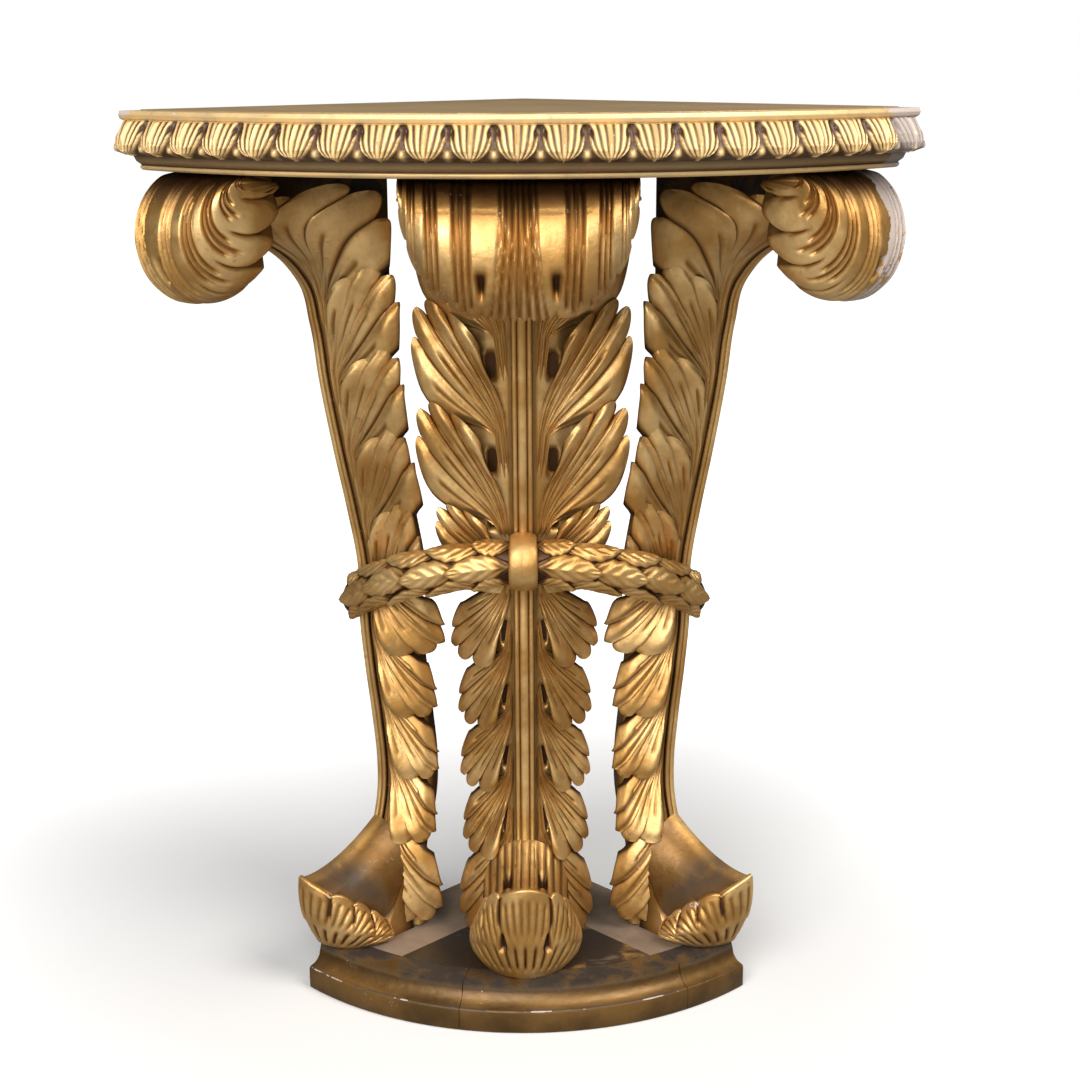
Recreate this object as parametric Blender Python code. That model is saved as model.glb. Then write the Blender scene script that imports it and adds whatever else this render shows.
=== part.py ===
"""Corner console table: a quadrant top on three carved leaf legs, tied by a wreath, on a quadrant plinth.

The back is a right angle that stands in the corner of a room. The walls meet on a vertical line, the
corner line, and every radius below is measured from it. The front faces -Y and Z is up.
"""

import math

import bmesh
import bpy
import numpy as np
from mathutils import Vector

# Main sizes, in metres
TABLE_HEIGHT = 0.900
TOP_RADIUS = 0.495
PLINTH_RADIUS = 0.321
WALL_ANGLE = math.radians(45)
FIT = 0.0003

# Top
TOP_DEPTH = 0.052
BOARD_THICK = 0.022
BOARD_COUNT = 3
ARC_STEPS = 9
END_STEPS = 4
MOULDING_DEPTH = 0.030
LEDGE_RISE = 0.014
LEDGE_INSET = 0.021
RAIL_THICK = 0.034
RAIL_REACH = 0.075
BLOCK_LENGTH = 0.075
BEARER_HALF = 0.028
TONGUE_THICK = 0.006
TONGUE_WIDTH = 0.018
TONGUE_STOP = 0.027
LEAF_COUNT = 21
LEAF_DIP = 0.0045
LEAF_STEPS = 4
EDGE_PARTS = 3
RAIL_STEPS = 14
BLOCK_TIP = 0.004
# Section of the carved edge: inset from the outer radius, share of the height, share of the dip
LEAF_SECTION = (
    (0.013, 0.0, 0.0), (0.003, 0.13, 1.0), (0.0, 0.30, 1.0),
    (0.003, 0.58, 0.6), (0.010, 0.80, 0.0), (0.011, 1.0, 0.0),
)
# Section of the frieze: inset from the ledge radius, share of the ledge's rise
FRIEZE_SECTION = ((0.014, 0.0), (0.006, 0.16), (0.001, 0.42), (0.0, 0.60), (0.0, 1.0))

# Plinth
PLINTH_HEIGHT = 0.045
PLINTH_FACE = 0.024
COVE_DEPTH = 0.0166
EDGE_WIDTH = 0.045
STRIP_WIDTH = 0.082
COVE_STEPS = 6
EDGE_STEP = math.radians(3.5)
EDGE_JOINTS = (math.radians(-12), math.radians(31))

# Legs: the spine stands in from the edge of the plinth at its foot and of the top at its head
FOOT_INSET = 0.0849
HEAD_INSET = 0.0950
# Share of the leg height, and how far the spine has gone there from its foot radius to its head radius
SPINE = (
    (0.000, 0.0000), (0.115, 0.0060), (0.145, -0.0423), (0.185, -0.0846), (0.225, -0.0906), (0.290, -0.0604),
    (0.360, -0.0151), (0.420, 0.0151), (0.500, 0.0211), (0.570, 0.0876), (0.650, 0.1782), (0.740, 0.2689),
    (0.810, 0.3233), (0.865, 0.4109), (0.900, 0.5891), (0.925, 0.8248), (0.940, 0.9758), (1.000, 1.0000),
)
SPINE_HALF = 0.011
POST_DEPTH = 0.055
POST_HALF = 0.034
HEAD_BACK = 0.216
LEAF_THICK = 0.016
LEAF_EDGE = 0.010
LEAF_UNDER = 0.019
LEAF_LEAST = 0.002
LEAF_SPACE = 0.003
LEAF_CLEAR = 0.008
LEAF_CURVE = 1.5
TENON_LENGTH = 0.026
TENON_INSET = 0.009
HEAD_SHARE = 0.9

# Leaf sprays on the legs. The ends, the first leaflet and the pitch are shares of the leg height. A leaflet
# has three control lines, its outer edge, its middle and its inner edge. Each is a bend of four places, from
# the stem to the tip, that lie sideways from the spine and onwards from the leaflet's base. The rim of a spray
# starts at its own radius and gains on it over a share of the spray's length, in which it settles.
UPPER_SPRAY = {
    "start": 0.477, "end": 0.950, "seats": 26, "way": 1, "fingers": 5,
    "first": 0.473, "pitch": 0.0972, "widths": (0.82, 0.96, 0.99, 0.97, 0.95),
    "wide": 0.099, "fold": 0.026, "rim": 0.2135, "gain": 0.0405, "settle": 0.60, "body": 0.064,
    "outer": ((0.0270, -0.020), (0.0330, -0.006), (0.0760, -0.018), (0.0960, 0.026)),
    "middle": ((0.0230, -0.020), (0.0260, 0.007), (0.0580, 0.036), (0.0920, 0.092)),
    "inner": ((0.0164, -0.020), (0.0195, 0.010), (0.0290, 0.040), (0.0350, 0.062)),
}
LOWER_SPRAY = {
    "start": 0.473, "end": 0.020, "seats": 24, "way": -1, "fingers": 6,
    "first": 0.467, "pitch": 0.0866, "widths": (1.04, 0.92, 0.90, 0.87, 0.87),
    "wide": 0.075, "fold": 0.036, "rim": 0.203, "gain": -0.019, "settle": 0.05, "body": 0.050,
    "outer": ((0.0200, -0.026), (0.0230, -0.014), (0.0500, -0.012), (0.0660, 0.012)),
    "middle": ((0.0170, -0.026), (0.0200, -0.002), (0.0450, 0.022), (0.0690, 0.059)),
    "inner": ((0.0140, -0.026), (0.0168, 0.008), (0.0230, 0.038), (0.0310, 0.063)),
}
# Leaf shape: rows and columns of the carved front, then the form of a leaflet along its length
SEAT_ROWS = 2
LEAF_COLS = 12
STEM_REACH = 0.018
FINGER_SPREAD = 1.2
FINGER_NOTCH = 0.032
FINGER_FILL = 8
BEND_FILL = 40
LEAFLET_RISE = 0.0105
LEAFLET_RISE_START = 0.15
LEAFLET_RISE_CURVE = 1.4
LEAFLET_CROWN = 0.0029
LEAFLET_CROWN_END = 0.34
LEAFLET_SINK = 0.003
LEAFLET_ROLL = 0.0045
LEAFLET_ROLL_START = 0.87
LEAFLET_MARGIN = 0.003
BODY_SINK = 0.0055
BODY_FALL = 0.0035
ROW_MARGIN = 0.004

# Curled leaf tips under the top
CURL_HALF = 0.100
CURL_ROOT = 0.060
CURL_REACH = 0.078
CURL_DROP = 0.116
CURL_LIP = 0.013
CURL_COLS = 8
CURL_STEPS = 10
CURL_TURN = 1.12
CURL_FLAT = 0.34
CURL_SIDE = 0.40
CURL_BOW = 3.2
CURL_BOW_SIDE = 4
CURL_END_MIDDLE = 0.16
CURL_END_SIDE = 0.30
CURL_HOLLOW = 0.016

# Feet: a toe swings round a centre line that stands out from the spine. Its rim falls to the sides.
SIDE_TOE = {
    "reach": 0.094, "rise": 0.081, "out": 0.026, "fall": 0.70, "bend": 1.3, "sag": 0.002, "climb": 1.86,
}
MIDDLE_TOE = {
    "reach": 0.068, "rise": 0.099, "out": 0.014, "fall": 0.52, "bend": 1.7, "sag": 0.006, "climb": 2.4,
}
TOE_HALF = 0.053
TOE_BASE = 0.043
TOE_TUCK = 0.007
TOE_UNDER = 0.006
TOE_SWELL = 0.004
TOE_SWELL_SIDE = 0.009
TOE_FLARE = 0.9
TOE_SWELL_HIGH = 0.8
TOE_TURN = math.radians(100)
TOE_STEPS = 8
TOE_WALL = 6
TOE_SADDLE = 4
FOOT_ROOT_HALF = 0.044
FOOT_RISE = 0.122
FOOT_FALL = 0.060

# Wreath
WREATH_MID = 0.530
WREATH_END = 0.458
WREATH_HALF = 0.0255
WREATH_DEPTH = 0.026
WREATH_BULGE = 0.007
WREATH_STEPS = 18
CLASP_HALF = 0.0125
CLASP_SWELL = 0.14
CLASP_STEPS = 7
WREATH_RIPPLE = 0.06
WREATH_SIDES = 9

# Fixings
DOWEL_RADIUS = 0.005
DOWEL_LENGTH = 0.032
PIN_RADIUS = 0.003
PIN_LENGTH = 0.024
SCREW_RADIUS = 0.0026
SCREW_HEAD = 0.006
SCREW_LENGTH = 0.070
SCREW_SINK = 0.002
SCREW_RIM = 0.002
SCREW_CONE = 0.0034
SCREW_POINT = 0.004
SCREW_TIP = 0.0008
FOOT_DOWEL_ASIDE = 0.0128
FOOT_DOWEL_RISE = 0.038
HOLE_CLEARANCE = 0.0003
ROUND_SIDES = 10

CORNER_Y = TOP_RADIUS / 2
FRAME_Z = TABLE_HEIGHT - TOP_DEPTH
BOARD_Z = TABLE_HEIGHT - BOARD_THICK
BOARD_RADIUS = TOP_RADIUS - MOULDING_DEPTH
LEDGE_RADIUS = TOP_RADIUS - LEDGE_INSET
RAIL_RADIUS = TOP_RADIUS - RAIL_REACH
EDGE_RADIUS = PLINTH_RADIUS - EDGE_WIDTH
LEG_BASE = PLINTH_HEIGHT + FIT
LEG_TOP = FRAME_Z - FIT
LEG_HEIGHT = LEG_TOP - LEG_BASE
LEGS = {"left": (-WALL_ANGLE, (1,)), "centre": (0.0, (-1, 1)), "right": (WALL_ANGLE, (-1,))}

GILT = ("gilt_carving", (0.55, 0.33, 0.10, 1), 0.42, 0.75)
PALE_GILT = ("gilt_moulding", (0.66, 0.43, 0.17, 1), 0.45, 0.65)
TOP_GILT = ("gilt_top", (0.60, 0.42, 0.20, 1), 0.50, 0.40)
BOLE = ("dark_bole", (0.06, 0.045, 0.03, 1), 0.60, 0.0)
PINE = ("softwood", (0.42, 0.30, 0.19, 1), 0.75, 0.0)
STEEL = ("screw_steel", (0.30, 0.29, 0.28, 1), 0.45, 1.0)


def clear_scene():
    for obj in list(bpy.data.objects):
        bpy.data.objects.remove(obj, do_unlink=True)


def material(spec):
    name, colour, roughness, metallic = spec
    made = bpy.data.materials.get(name)
    if made is None:
        made = bpy.data.materials.new(name)
        made.use_nodes = True
        shader = made.node_tree.nodes["Principled BSDF"]
        shader.inputs["Base Color"].default_value = colour
        shader.inputs["Roughness"].default_value = roughness
        shader.inputs["Metallic"].default_value = metallic
    return made


def spot(leg, r, t, z, side=1):
    """World point at radius r out from the corner, t sideways into the room, and height z, at a leg."""
    angle = LEGS[leg][0]
    x = r * math.sin(angle) + side * t * math.cos(angle)
    y = CORNER_Y - r * math.cos(angle) + side * t * math.sin(angle)
    return Vector((x, y, z))


def around(r, angle, z):
    return Vector((r * math.sin(angle), CORNER_Y - r * math.cos(angle), z))


def add_mesh(name, points, faces, spec, smooth=False):
    """One object from points and faces, with its faces turned outwards."""
    mesh = bpy.data.meshes.new(name)
    work = bmesh.new()
    corners = [work.verts.new(p) for p in points]
    for face in faces:
        work.faces.new([corners[i] for i in face])
    bmesh.ops.recalc_face_normals(work, faces=work.faces)
    for face in work.faces:
        face.smooth = smooth
    work.to_mesh(mesh)
    work.free()
    obj = bpy.data.objects.new(name, mesh)
    bpy.context.scene.collection.objects.link(obj)
    if spec is None:
        obj.hide_render = True
        obj.display_type = "WIRE"
    else:
        mesh.materials.append(material(spec))
    return obj


def loft(name, rings, spec, smooth=False):
    """A solid through a row of rings that have the same number of points, with flat ends."""
    count = len(rings[0])
    points = [p for ring in rings for p in ring]
    faces = [list(range(count)), [(len(rings) - 1) * count + i for i in range(count)]]
    for row in range(len(rings) - 1):
        for i in range(count):
            j = (i + 1) % count
            low = row * count
            faces.append([low + i, low + j, low + count + j, low + count + i])
    return add_mesh(name, points, faces, spec, smooth)


def shell(name, front, back, spec, smooth=False):
    """A solid between two sheets of points that have the same rows and columns."""
    rows, cols = len(front), len(front[0])
    points = [p for sheet in (front, back) for line in sheet for p in line]
    size = rows * cols
    faces = []
    for base in (0, size):
        for i in range(rows - 1):
            for j in range(cols - 1):
                a = base + i * cols + j
                faces.append([a, a + 1, a + cols + 1, a + cols])
    rim = [j for j in range(cols)] + [i * cols + cols - 1 for i in range(1, rows)]
    rim += [(rows - 1) * cols + j for j in range(cols - 2, -1, -1)]
    rim += [i * cols for i in range(rows - 2, 0, -1)]
    for a, b in zip(rim, rim[1:] + rim[:1]):
        faces.append([a, b, size + b, size + a])
    return add_mesh(name, points, faces, spec, smooth)


def slab(name, outline, low, high, spec):
    """A plan outline raised between two heights."""
    return loft(name, [[Vector((x, y, z)) for x, y in outline] for z in (low, high)], spec)


def sweep(name, profile, first, last, steps, spec, smooth=False):
    """A profile of radius and height carried round the corner line. The profile may depend on the angle."""
    rings = []
    for angle in np.linspace(first, last, steps + 1):
        section = profile(angle) if callable(profile) else profile
        rings.append([around(r, angle, z) for r, z in section])
    return loft(name, rings, spec, smooth)


def rod(name, start, end, radii, spec):
    """A turned rod from start to end. Radii is a list of (share of the length, radius)."""
    axis = (end - start).normalized()
    aside = axis.orthogonal().normalized()
    across = axis.cross(aside)
    turns = [2 * math.pi * k / ROUND_SIDES for k in range(ROUND_SIDES)]
    rings = []
    for share, radius in radii:
        centre = start + (end - start) * share
        rings.append([centre + (aside * math.cos(a) + across * math.sin(a)) * radius for a in turns])
    return loft(name, rings, spec, smooth=True)


def cut(obj, cutter):
    step = obj.modifiers.new("cut_" + cutter.name, "BOOLEAN")
    step.operation = "DIFFERENCE"
    step.solver = "EXACT"
    step.object = cutter


def fix_with_dowel(name, start, direction, radius, length, hosts):
    """A round peg centred on a joint, with a hole for it in each host."""
    reach = direction.normalized() * length / 2
    rod(name, start - reach, start + reach, [(0, radius), (1, radius)], PINE)
    spare = direction.normalized() * (length / 2 + HOLE_CLEARANCE)
    wide = radius + HOLE_CLEARANCE
    hole = rod(name + "_hole", start - spare, start + spare, [(0, wide), (1, wide)], None)
    for host in hosts:
        cut(bpy.data.objects[host], hole)


def smooth_through(pairs, at):
    """A smooth curve through control pairs, read at one value."""
    keys = np.array([p[0] for p in pairs])
    values = np.array([p[1] for p in pairs])
    slopes = np.gradient(values, keys)
    i = int(np.clip(np.searchsorted(keys, at) - 1, 0, len(keys) - 2))
    span = keys[i + 1] - keys[i]
    u = min(max((at - keys[i]) / span, 0.0), 1.0)
    a = 2 * u**3 - 3 * u**2 + 1
    b = u**3 - 2 * u**2 + u
    c = 3 * u**2 - 2 * u**3
    d = u**3 - u**2
    return a * values[i] + b * span * slopes[i] + c * values[i + 1] + d * span * slopes[i + 1]


def spine_radius(share):
    foot = PLINTH_RADIUS - FOOT_INSET
    head = TOP_RADIUS - HEAD_INSET
    return foot + (head - foot) * smooth_through(SPINE, share)


def leg_z(share):
    return LEG_BASE + LEG_HEIGHT * share


HEAD_RADIUS = max(spine_radius(s) for s in np.linspace(HEAD_SHARE, 1, 21))
FOOT_RADIUS = max(spine_radius(s) for s in np.linspace(0, FOOT_RISE / LEG_HEIGHT, 9))


def top_outline(near, far):
    """Plan of the part of the top that lies between two distances out from the corner."""
    bend = BOARD_RADIUS * math.cos(WALL_ANGLE)
    right = []
    if near < bend:
        right.append((near * math.tan(WALL_ANGLE), near))
    if far <= bend:
        right.append((far * math.tan(WALL_ANGLE), far))
    else:
        start = WALL_ANGLE if near < bend else math.acos(near / BOARD_RADIUS)
        stop = math.acos(min(far / BOARD_RADIUS, 1.0))
        for a in np.linspace(start, stop, ARC_STEPS):
            right.append((BOARD_RADIUS * math.sin(a), BOARD_RADIUS * math.cos(a)))
    left = [(-x, d) for x, d in reversed(right) if x > FIT]
    return [(x, CORNER_Y - d) for x, d in right + left]


def build_boards():
    """Three boards edge to edge with loose tongues in their seams."""
    first = BOARD_RADIUS / BOARD_COUNT
    second = 2 * first
    slab("top_board_back", top_outline(0.0, first), BOARD_Z, TABLE_HEIGHT, TOP_GILT)
    slab("top_board_middle", top_outline(first + FIT, second), BOARD_Z, TABLE_HEIGHT, TOP_GILT)
    slab("top_board_front", top_outline(second + FIT, BOARD_RADIUS), BOARD_Z, TABLE_HEIGHT, TOP_GILT)
    middle_z = BOARD_Z + BOARD_THICK / 2
    seams = (("back", first, ("back", "middle")), ("front", second, ("middle", "front")))
    for name, seam, hosts in seams:
        reach = min(seam, math.sqrt(BOARD_RADIUS**2 - seam**2)) - TONGUE_STOP
        mid = CORNER_Y - seam - FIT / 2
        for kind, spare, spec in (("", 0.0, PINE), ("_groove", HOLE_CLEARANCE, None)):
            x = reach + spare
            y = TONGUE_WIDTH / 2 + spare
            z = TONGUE_THICK / 2 + spare
            outline = [(-x, mid - y), (x, mid - y), (x, mid + y), (-x, mid + y)]
            made = slab("top_tongue_" + name + kind, outline, middle_z - z, middle_z + z, spec)
        for host in hosts:
            cut(bpy.data.objects["top_board_" + host], made)


def leaf_edge(angle):
    """Section of the carved edge. It swells at each leaf and dips between leaves."""
    turn = (angle + WALL_ANGLE) / (2 * WALL_ANGLE) * LEAF_COUNT
    dip = LEAF_DIP * (1 - abs(math.sin(math.pi * turn)))
    low = FRAME_Z + LEDGE_RISE + FIT
    high = TABLE_HEIGHT - 2 * FIT
    inner = BOARD_RADIUS + FIT
    section = [(inner, low)]
    for inset, share, dips in LEAF_SECTION:
        section.append((TOP_RADIUS - inset - dip * dips, low + (high - low) * share))
    return section + [(inner, high)]


def frieze_section():
    section = [(RAIL_RADIUS, FRAME_Z)]
    section += [(LEDGE_RADIUS - inset, FRAME_Z + LEDGE_RISE * share) for inset, share in FRIEZE_SECTION]
    high = BOARD_Z - FIT
    return section + [(BOARD_RADIUS, FRAME_Z + LEDGE_RISE), (BOARD_RADIUS, high), (RAIL_RADIUS, high)]


def build_edges():
    span = 2 * WALL_ANGLE / EDGE_PARTS
    for k, name in enumerate(("left", "centre", "right")):
        slit = FIT / TOP_RADIUS / 2
        first = -WALL_ANGLE + k * span + (slit if k else 0.0)
        last = -WALL_ANGLE + (k + 1) * span - (slit if k < EDGE_PARTS - 1 else 0.0)
        steps = LEAF_STEPS * LEAF_COUNT // EDGE_PARTS
        sweep("leaf_moulding_" + name, leaf_edge, first, last, steps, PALE_GILT)
        sweep("frieze_rail_" + name, frieze_section(), first, last, RAIL_STEPS, PALE_GILT)


def wall_strip(leg, side, width, radius, spare):
    """Plan of a strip along a wall, mitred at the corner and rounded at its outer end."""
    angles = np.linspace(0.0, math.asin(width / radius), END_STEPS)
    ends = [(radius * math.cos(a), radius * math.sin(a)) for a in angles]
    ring = [(spare, 0.0)] + ends + [(width + spare, width)]
    return [tuple(spot(leg, r, t, 0.0, side)[:2]) for r, t in ring]


def build_frame():
    """Rails under the boards: one along each wall, a block in the corner and a bearer to the front."""
    for name in ("left", "right"):
        side = LEGS[name][1][0]
        plan = wall_strip(name, side, RAIL_THICK, RAIL_RADIUS - FIT, FIT)
        slab("wall_rail_" + name, plan, FRAME_Z, BOARD_Z - FIT, PINE)
    inner = RAIL_THICK * math.sqrt(2) + 2 * FIT
    face = inner + BLOCK_LENGTH / 2
    flank = face - inner
    blunt = inner + BLOCK_TIP
    block = [(-BLOCK_TIP, blunt), (BLOCK_TIP, blunt), (flank, face), (-flank, face)]
    slab("corner_block", [(x, CORNER_Y - d) for x, d in block], FRAME_Z, BOARD_Z - FIT, PINE)
    reach = math.sqrt((RAIL_RADIUS - FIT) ** 2 - BEARER_HALF**2) - FIT
    ends = [(-BEARER_HALF, face + FIT), (BEARER_HALF, face + FIT)]
    ends += [(BEARER_HALF, reach), (-BEARER_HALF, reach)]
    slab("centre_bearer", [(x, CORNER_Y - d) for x, d in ends], FRAME_Z, BOARD_Z - FIT, PINE)


def edge_section():
    cove = []
    for a in np.linspace(0, math.pi / 2, COVE_STEPS):
        r = PLINTH_RADIUS - COVE_DEPTH * math.sin(a)
        z = PLINTH_HEIGHT - (PLINTH_HEIGHT - PLINTH_FACE) * math.cos(a)
        cove.append((r, z))
    inner = EDGE_RADIUS + FIT
    return [(inner, 0.0), (PLINTH_RADIUS, 0.0)] + cove + [(inner, PLINTH_HEIGHT)]


def build_plinth():
    """Two wall strips and a front board, inside a moulded edge in three lengths."""
    for name in ("left", "right"):
        side = LEGS[name][1][0]
        plan = wall_strip(name, side, STRIP_WIDTH, EDGE_RADIUS, FIT)
        slab("plinth_board_" + name, plan, 0.0, PLINTH_HEIGHT, BOLE)
    inner = (STRIP_WIDTH + FIT) * math.sqrt(2)
    turn = WALL_ANGLE - math.asin((STRIP_WIDTH + FIT) / EDGE_RADIUS)
    plan = [(0.0, CORNER_Y - inner)]
    for a in np.linspace(turn, -turn, ARC_STEPS):
        plan.append((EDGE_RADIUS * math.sin(a), CORNER_Y - EDGE_RADIUS * math.cos(a)))
    slab("plinth_board_front", plan, 0.0, PLINTH_HEIGHT, BOLE)
    stops = [-WALL_ANGLE, *EDGE_JOINTS, WALL_ANGLE]
    slit = FIT / PLINTH_RADIUS / 2
    for k, name in enumerate(("left", "centre", "right")):
        first = stops[k] + (slit if k else 0.0)
        last = stops[k + 1] - (slit if k < 2 else 0.0)
        steps = math.ceil((last - first) / EDGE_STEP)
        sweep("plinth_edge_" + name, edge_section(), first, last, steps, GILT)


def post_ring(leg, share, z):
    """Plan of a post at one height: a core with a narrow spine rib on its front."""
    rib = spine_radius(share)
    core = rib - LEAF_THICK - FIT
    back = min(rib - POST_DEPTH, HEAD_BACK)
    if leg == "centre":
        ring = [(back, -POST_HALF), (core, -POST_HALF), (core, -SPINE_HALF), (rib, -SPINE_HALF)]
        ring += [(r, -t) for r, t in reversed(ring)]
    else:
        ring = [(back, 0.0), (rib, 0.0), (rib, SPINE_HALF), (core, SPINE_HALF)]
        ring += [(core, POST_HALF), (back, POST_HALF)]
    side = LEGS[leg][1][-1]
    return [spot(leg, r, t, z, side) for r, t in ring]


def tenon_ring(leg, z):
    """Plan of the tenon under a post. It has as many points as the post, the spare ones along its front."""
    rib = spine_radius(0.0)
    front = rib - LEAF_THICK - TENON_INSET
    back = rib - POST_DEPTH + TENON_INSET
    wide = POST_HALF - TENON_INSET
    low = -wide if leg == "centre" else TENON_INSET
    spread = np.linspace(low, wide, 6 if leg == "centre" else 4)
    ring = [(back, low)] + [(front, t) for t in spread] + [(back, wide)]
    side = LEGS[leg][1][-1]
    return [spot(leg, r, t, z, side) for r, t in ring]


def spray_shares(spray):
    """Heights of the seats of a leaf spray on its post, as shares of the leg height."""
    return np.linspace(spray["start"], spray["end"], spray["seats"] + 1)


def post_shares():
    """Heights of the rows of a post, with a row behind each seat of its leaves."""
    lower = sorted(spray_shares(LOWER_SPRAY))
    upper = sorted(spray_shares(UPPER_SPRAY))
    ankle = np.linspace(0, lower[0], 3)[:-1]
    head = np.linspace(upper[-1], 1, 6)[1:]
    return [*ankle, *lower, *upper, *head]


def build_posts():
    for leg in LEGS:
        rings = [tenon_ring(leg, LEG_BASE - TENON_LENGTH), tenon_ring(leg, LEG_BASE)]
        for share in post_shares():
            rings.append(post_ring(leg, share, leg_z(share)))
        loft("leg_" + leg + "_post", rings, GILT)
        board = "plinth_board_" + ("front" if leg == "centre" else leg)
        low = LEG_BASE - TENON_LENGTH - HOLE_CLEARANCE
        hole = [grown(tenon_ring(leg, z)) for z in (low, LEG_BASE + TENON_LENGTH)]
        cut(bpy.data.objects[board], loft("leg_" + leg + "_mortise", hole, None))


def grown(ring):
    """A ring pushed out from its middle by the hole clearance."""
    middle = sum(ring, Vector()) / len(ring)
    return [p + (p - middle).normalized() * HOLE_CLEARANCE * 2 for p in ring]


def smooth_step(low, high, value):
    u = np.clip((value - low) / (high - low), 0, 1)
    return u * u * (3 - 2 * u)


def leaf_ground(spray, share, t):
    """Radius of the smooth leaf under the leaflets. It lies over the post and falls away to its rim."""
    along = (share - spray["start"]) / (spray["end"] - spray["start"])
    rim = spray["rim"] + spray["gain"] * smooth_step(0, spray["settle"], along)
    rib = spine_radius(share)
    past = np.maximum(t - POST_HALF, 0) / (spray["wide"] - POST_HALF)
    more = rib - spray["fold"] - rim
    return rib - spray["fold"] * (t / spray["wide"]) ** LEAF_CURVE - more * past**LEAF_CURVE


def leaflets(spray):
    """Places of the leaflets sideways and in height, and how far they stand off the smooth leaf."""
    phase = np.linspace(0, spray["fingers"], spray["fingers"] * FINGER_FILL + 1)
    q = (phase / spray["fingers"]) ** FINGER_SPREAD
    off = np.abs(2 * (phase % 1.0) - 1)
    lines = np.array([spray["outer"], spray["middle"], spray["inner"]])
    across = np.stack([2 * (q - 0.5) * (q - 1), 4 * q * (1 - q), 2 * q * (q - 0.5)], -1)
    bends = np.einsum("ql,lpd->pdq", across, lines)[..., None]
    along = np.linspace(0, 1, BEND_FILL)[None, :]
    b = along * (1 - FINGER_NOTCH * (1 - np.sqrt(1 - off**2)))[:, None]
    weights = ((1 - b) ** 3, 3 * (1 - b) ** 2 * b, 3 * (1 - b) * b**2, b**3)
    aside, onward = sum(w * bend for w, bend in zip(weights, bends[:, :, None]))[:, 0]
    stand = LEAFLET_CROWN * smooth_step(0.0, LEAFLET_CROWN_END, along) - LEAFLET_SINK
    stand = stand + LEAFLET_RISE * smooth_step(LEAFLET_RISE_START, 1.0, along) ** LEAFLET_RISE_CURVE
    stand = stand - LEAFLET_ROLL * smooth_step(LEAFLET_ROLL_START, 1.0, along) ** 2
    stand = np.broadcast_to(stand, b.shape)
    t, z = [], []
    for k, width in enumerate(spray["widths"]):
        base = leg_z(spray["first"] + spray["way"] * k * spray["pitch"])
        t.append(np.where(aside > STEM_REACH, STEM_REACH + (aside - STEM_REACH) * width, aside))
        z.append(base + spray["way"] * onward)
    return np.stack(t), np.stack(z), np.stack([stand] * len(t))


def wreath_share(angle):
    bend = (1 - math.cos(angle)) / (1 - math.cos(WALL_ANGLE))
    return WREATH_MID + (WREATH_END - WREATH_MID) * bend


def wreath_seat(angle):
    """Radius of the flat back of the wreath. It rests on the spines and bows out between them."""
    bow = WREATH_BULGE * math.sin(math.pi * abs(angle) / WALL_ANGLE)
    return spine_radius(wreath_share(angle) + WREATH_HALF / LEG_HEIGHT) + FIT + bow


def behind_wreath(leg, side, r, t, z):
    """Radius of a leaf's front at one place, brought behind the wreath where the wreath passes."""
    angle = LEGS[leg][0] + side * math.atan2(t, r)
    if abs(z - leg_z(wreath_share(angle))) > WREATH_HALF + LEAF_CLEAR:
        return r
    return min(r, math.sqrt(wreath_seat(angle) ** 2 - t**2) - LEAF_SPACE)


def leaf_ring(leg, side, spray, seat, share, shapes):
    """Plan of a leaf spray at one height: its carved front, then its back against the post and beside it."""
    z = leg_z(share)
    leaf_t, leaf_z, leaf_stand = shapes
    level = np.abs(leaf_z - z)
    edge = max([spray["body"], *leaf_t[level < ROW_MARGIN]])
    rim = leaf_ground(spray, share, spray["wide"]) - LEAF_EDGE
    edge = min(edge, rim * math.tan(WALL_ANGLE / 2) - LEAF_SPACE)
    behind_foot = z < LEG_BASE + FOOT_RISE
    start = FOOT_DOWEL_ASIDE + DOWEL_RADIUS + LEAF_CLEAR if behind_foot else SPINE_HALF + FIT
    beside = POST_HALF + FIT
    flank = np.array([(beside + edge) / 2, edge])
    back_t = np.array([start, beside, *flank])
    under = leaf_ground(spray, share, flank) - (LEAF_UNDER, LEAF_EDGE)
    back_r = np.array([seat, seat, *np.minimum(under, seat)])
    front_t = np.linspace(start, edge, LEAF_COLS)
    stand = -BODY_SINK - BODY_FALL * smooth_step(0.0, spray["body"], front_t)
    for t, h, proud in zip(leaf_t, level, leaf_stand):
        gaps = np.hypot(front_t[:, None] - t.ravel(), h.ravel())
        near = gaps.argmin(axis=1)
        found = gaps.min(axis=1) < LEAFLET_MARGIN
        stand = np.where(found, np.maximum(stand, proud.ravel()[near]), stand)
    front_r = leaf_ground(spray, share, front_t) + stand
    front_r = np.maximum(front_r, np.interp(front_t, back_t, back_r) + LEAF_LEAST)
    if behind_foot:
        front_r = np.minimum(front_r, FOOT_RADIUS - FIT)
    front_r = [behind_wreath(leg, side, r, t, z) for r, t in zip(front_r, front_t)]
    ring = [*zip(front_r, front_t), *zip(back_r[::-1], back_t[::-1])]
    return [spot(leg, r, t, z, side) for r, t in ring]


def leaf_rings(leg, side, spray):
    seats = spray_shares(spray)
    ribs = [spine_radius(share) - LEAF_THICK for share in seats]
    places = np.linspace(0, spray["seats"], spray["seats"] * SEAT_ROWS + 1)
    shapes = leaflets(spray)
    rings = []
    for place in places:
        share = np.interp(place, range(len(seats)), seats)
        seat = np.interp(place, range(len(seats)), ribs)
        rings.append(leaf_ring(leg, side, spray, seat, share, shapes))
    return rings


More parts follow.
